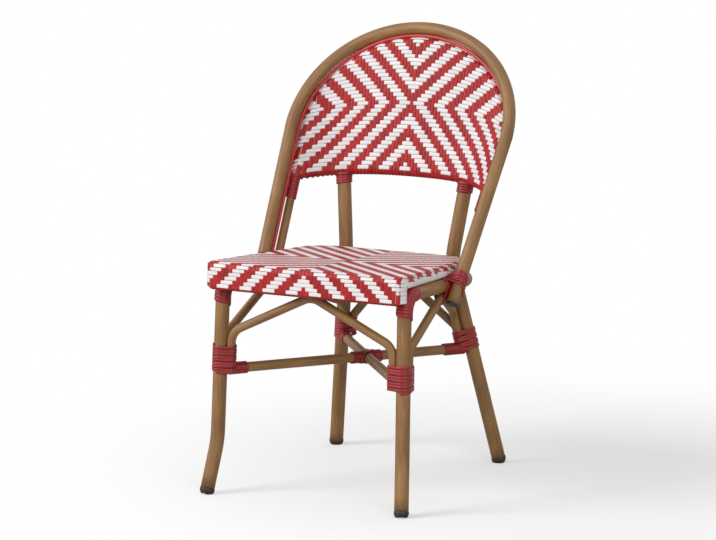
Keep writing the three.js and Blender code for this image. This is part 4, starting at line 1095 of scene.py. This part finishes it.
def stage_floor():
    """A white floor that keeps the shadow near the chair and fades to plain white further out."""
    m, t = new_material("studio_floor")
    by_camera = node(t, "ShaderNodeLightPath").outputs["Is Camera Ray"]
    place = node(t, "ShaderNodeTexCoord").outputs["Object"]
    away = node(t, "ShaderNodeVectorMath", {0: place, 1: SHADOW_MIDDLE}, operation="DISTANCE").outputs["Value"]
    fade = {"Value": away, "From Min": SHADOW_FROM, "From Max": SHADOW_TO, "To Min": 0.36, "To Max": 1.0}
    glow = result(t, "ShaderNodeMapRange", fade, interpolation_type="SMOOTHSTEP")
    seen = worked(t, "MULTIPLY", glow, by_camera)
    tint = scaled(t, by_camera, 0.6, 1.0)
    lit = result(t, "ShaderNodeBsdfDiffuse", {"Color": result(t, "ShaderNodeCombineColor", dict.fromkeys(RGB, tint))})
    plain = result(t, "ShaderNodeEmission", {"Color": WHITE, "Strength": 1.0})
    both = result(t, "ShaderNodeMixShader", {0: seen, 1: lit, 2: plain})
    node(t, "ShaderNodeOutputMaterial", {"Surface": both})
    bpy.ops.mesh.primitive_plane_add(size=FLOOR_SIZE, location=(0, 0, -FLOOR_BELOW))
    floor = bpy.context.object
    floor.name = "floor"
    floor.data.materials.append(m)


stage_floor()
scene = bpy.context.scene
world = bpy.data.worlds.new("studio")
scene.world = world
world.use_nodes = True
tree = world.node_tree
tree.nodes.clear()
# The world is white to the camera and in reflections, and half as bright as a light.
rays = node(tree, "ShaderNodeLightPath").outputs
seen = worked(tree, "MAXIMUM", rays["Is Camera Ray"], rays["Is Glossy Ray"])
seen = worked(tree, "MAXIMUM", seen, rays["Is Transmission Ray"])
light = result(tree, "ShaderNodeBackground", {"Color": WHITE, "Strength": scaled(tree, seen, 0.5, 1.0)})
node(tree, "ShaderNodeOutputWorld", {"Surface": light})


def look(way):
    """Axes of a camera or lamp that looks along a direction."""
    right = unit(np.cross(way, UP))
    return right, np.cross(right, way), -way


def placed(name, data, place, axes):
    thing = bpy.data.objects.new(name, data)
    scene.collection.objects.link(thing)
    thing.matrix_world = Matrix.Translation(place) @ Matrix(np.stack(axes, 1)).to_4x4()
    return thing


def lamp(name, place, target, size, power):
    data = bpy.data.lights.new(name, "AREA")
    data.shape = "DISK"
    data.size = size
    data.energy = power
    placed(name, data, place, look(unit(point(*target) - point(*place))))


lamp("key", (-3.0, -3.0, 2.9), (0, 0, 0.35), 2.4, 145)
lamp("fill", (2.8, -3.0, 2.0), (0, 0, 0.45), 2.6, 47)

# The camera, as fitted to the photo: angles in radians, its place in metres, and the lens in pixels and millimetres.
AZIMUTH, ELEVATION, ROLL, CAMERA = 0.4646, 0.1774, 0.0017, (3.229542, -6.474293, 1.717271)
FOCAL, PHOTO_WIDE, SENSOR = 3712.325, 716, 36
way = point(-sin(AZIMUTH) * cos(ELEVATION), cos(AZIMUTH) * cos(ELEVATION), -sin(ELEVATION))
right, up, back = look(way)
c, s = cos(ROLL), sin(ROLL)
right, up = right * c + up * s, up * c - right * s
data = bpy.data.cameras.new("camera")
data.sensor_width = SENSOR
data.lens = FOCAL / PHOTO_WIDE * SENSOR
data.clip_start, data.clip_end = 0.1, 100
scene.camera = placed("camera", data, CAMERA, [right, up, back])
scene.view_settings.view_transform = "Standard"
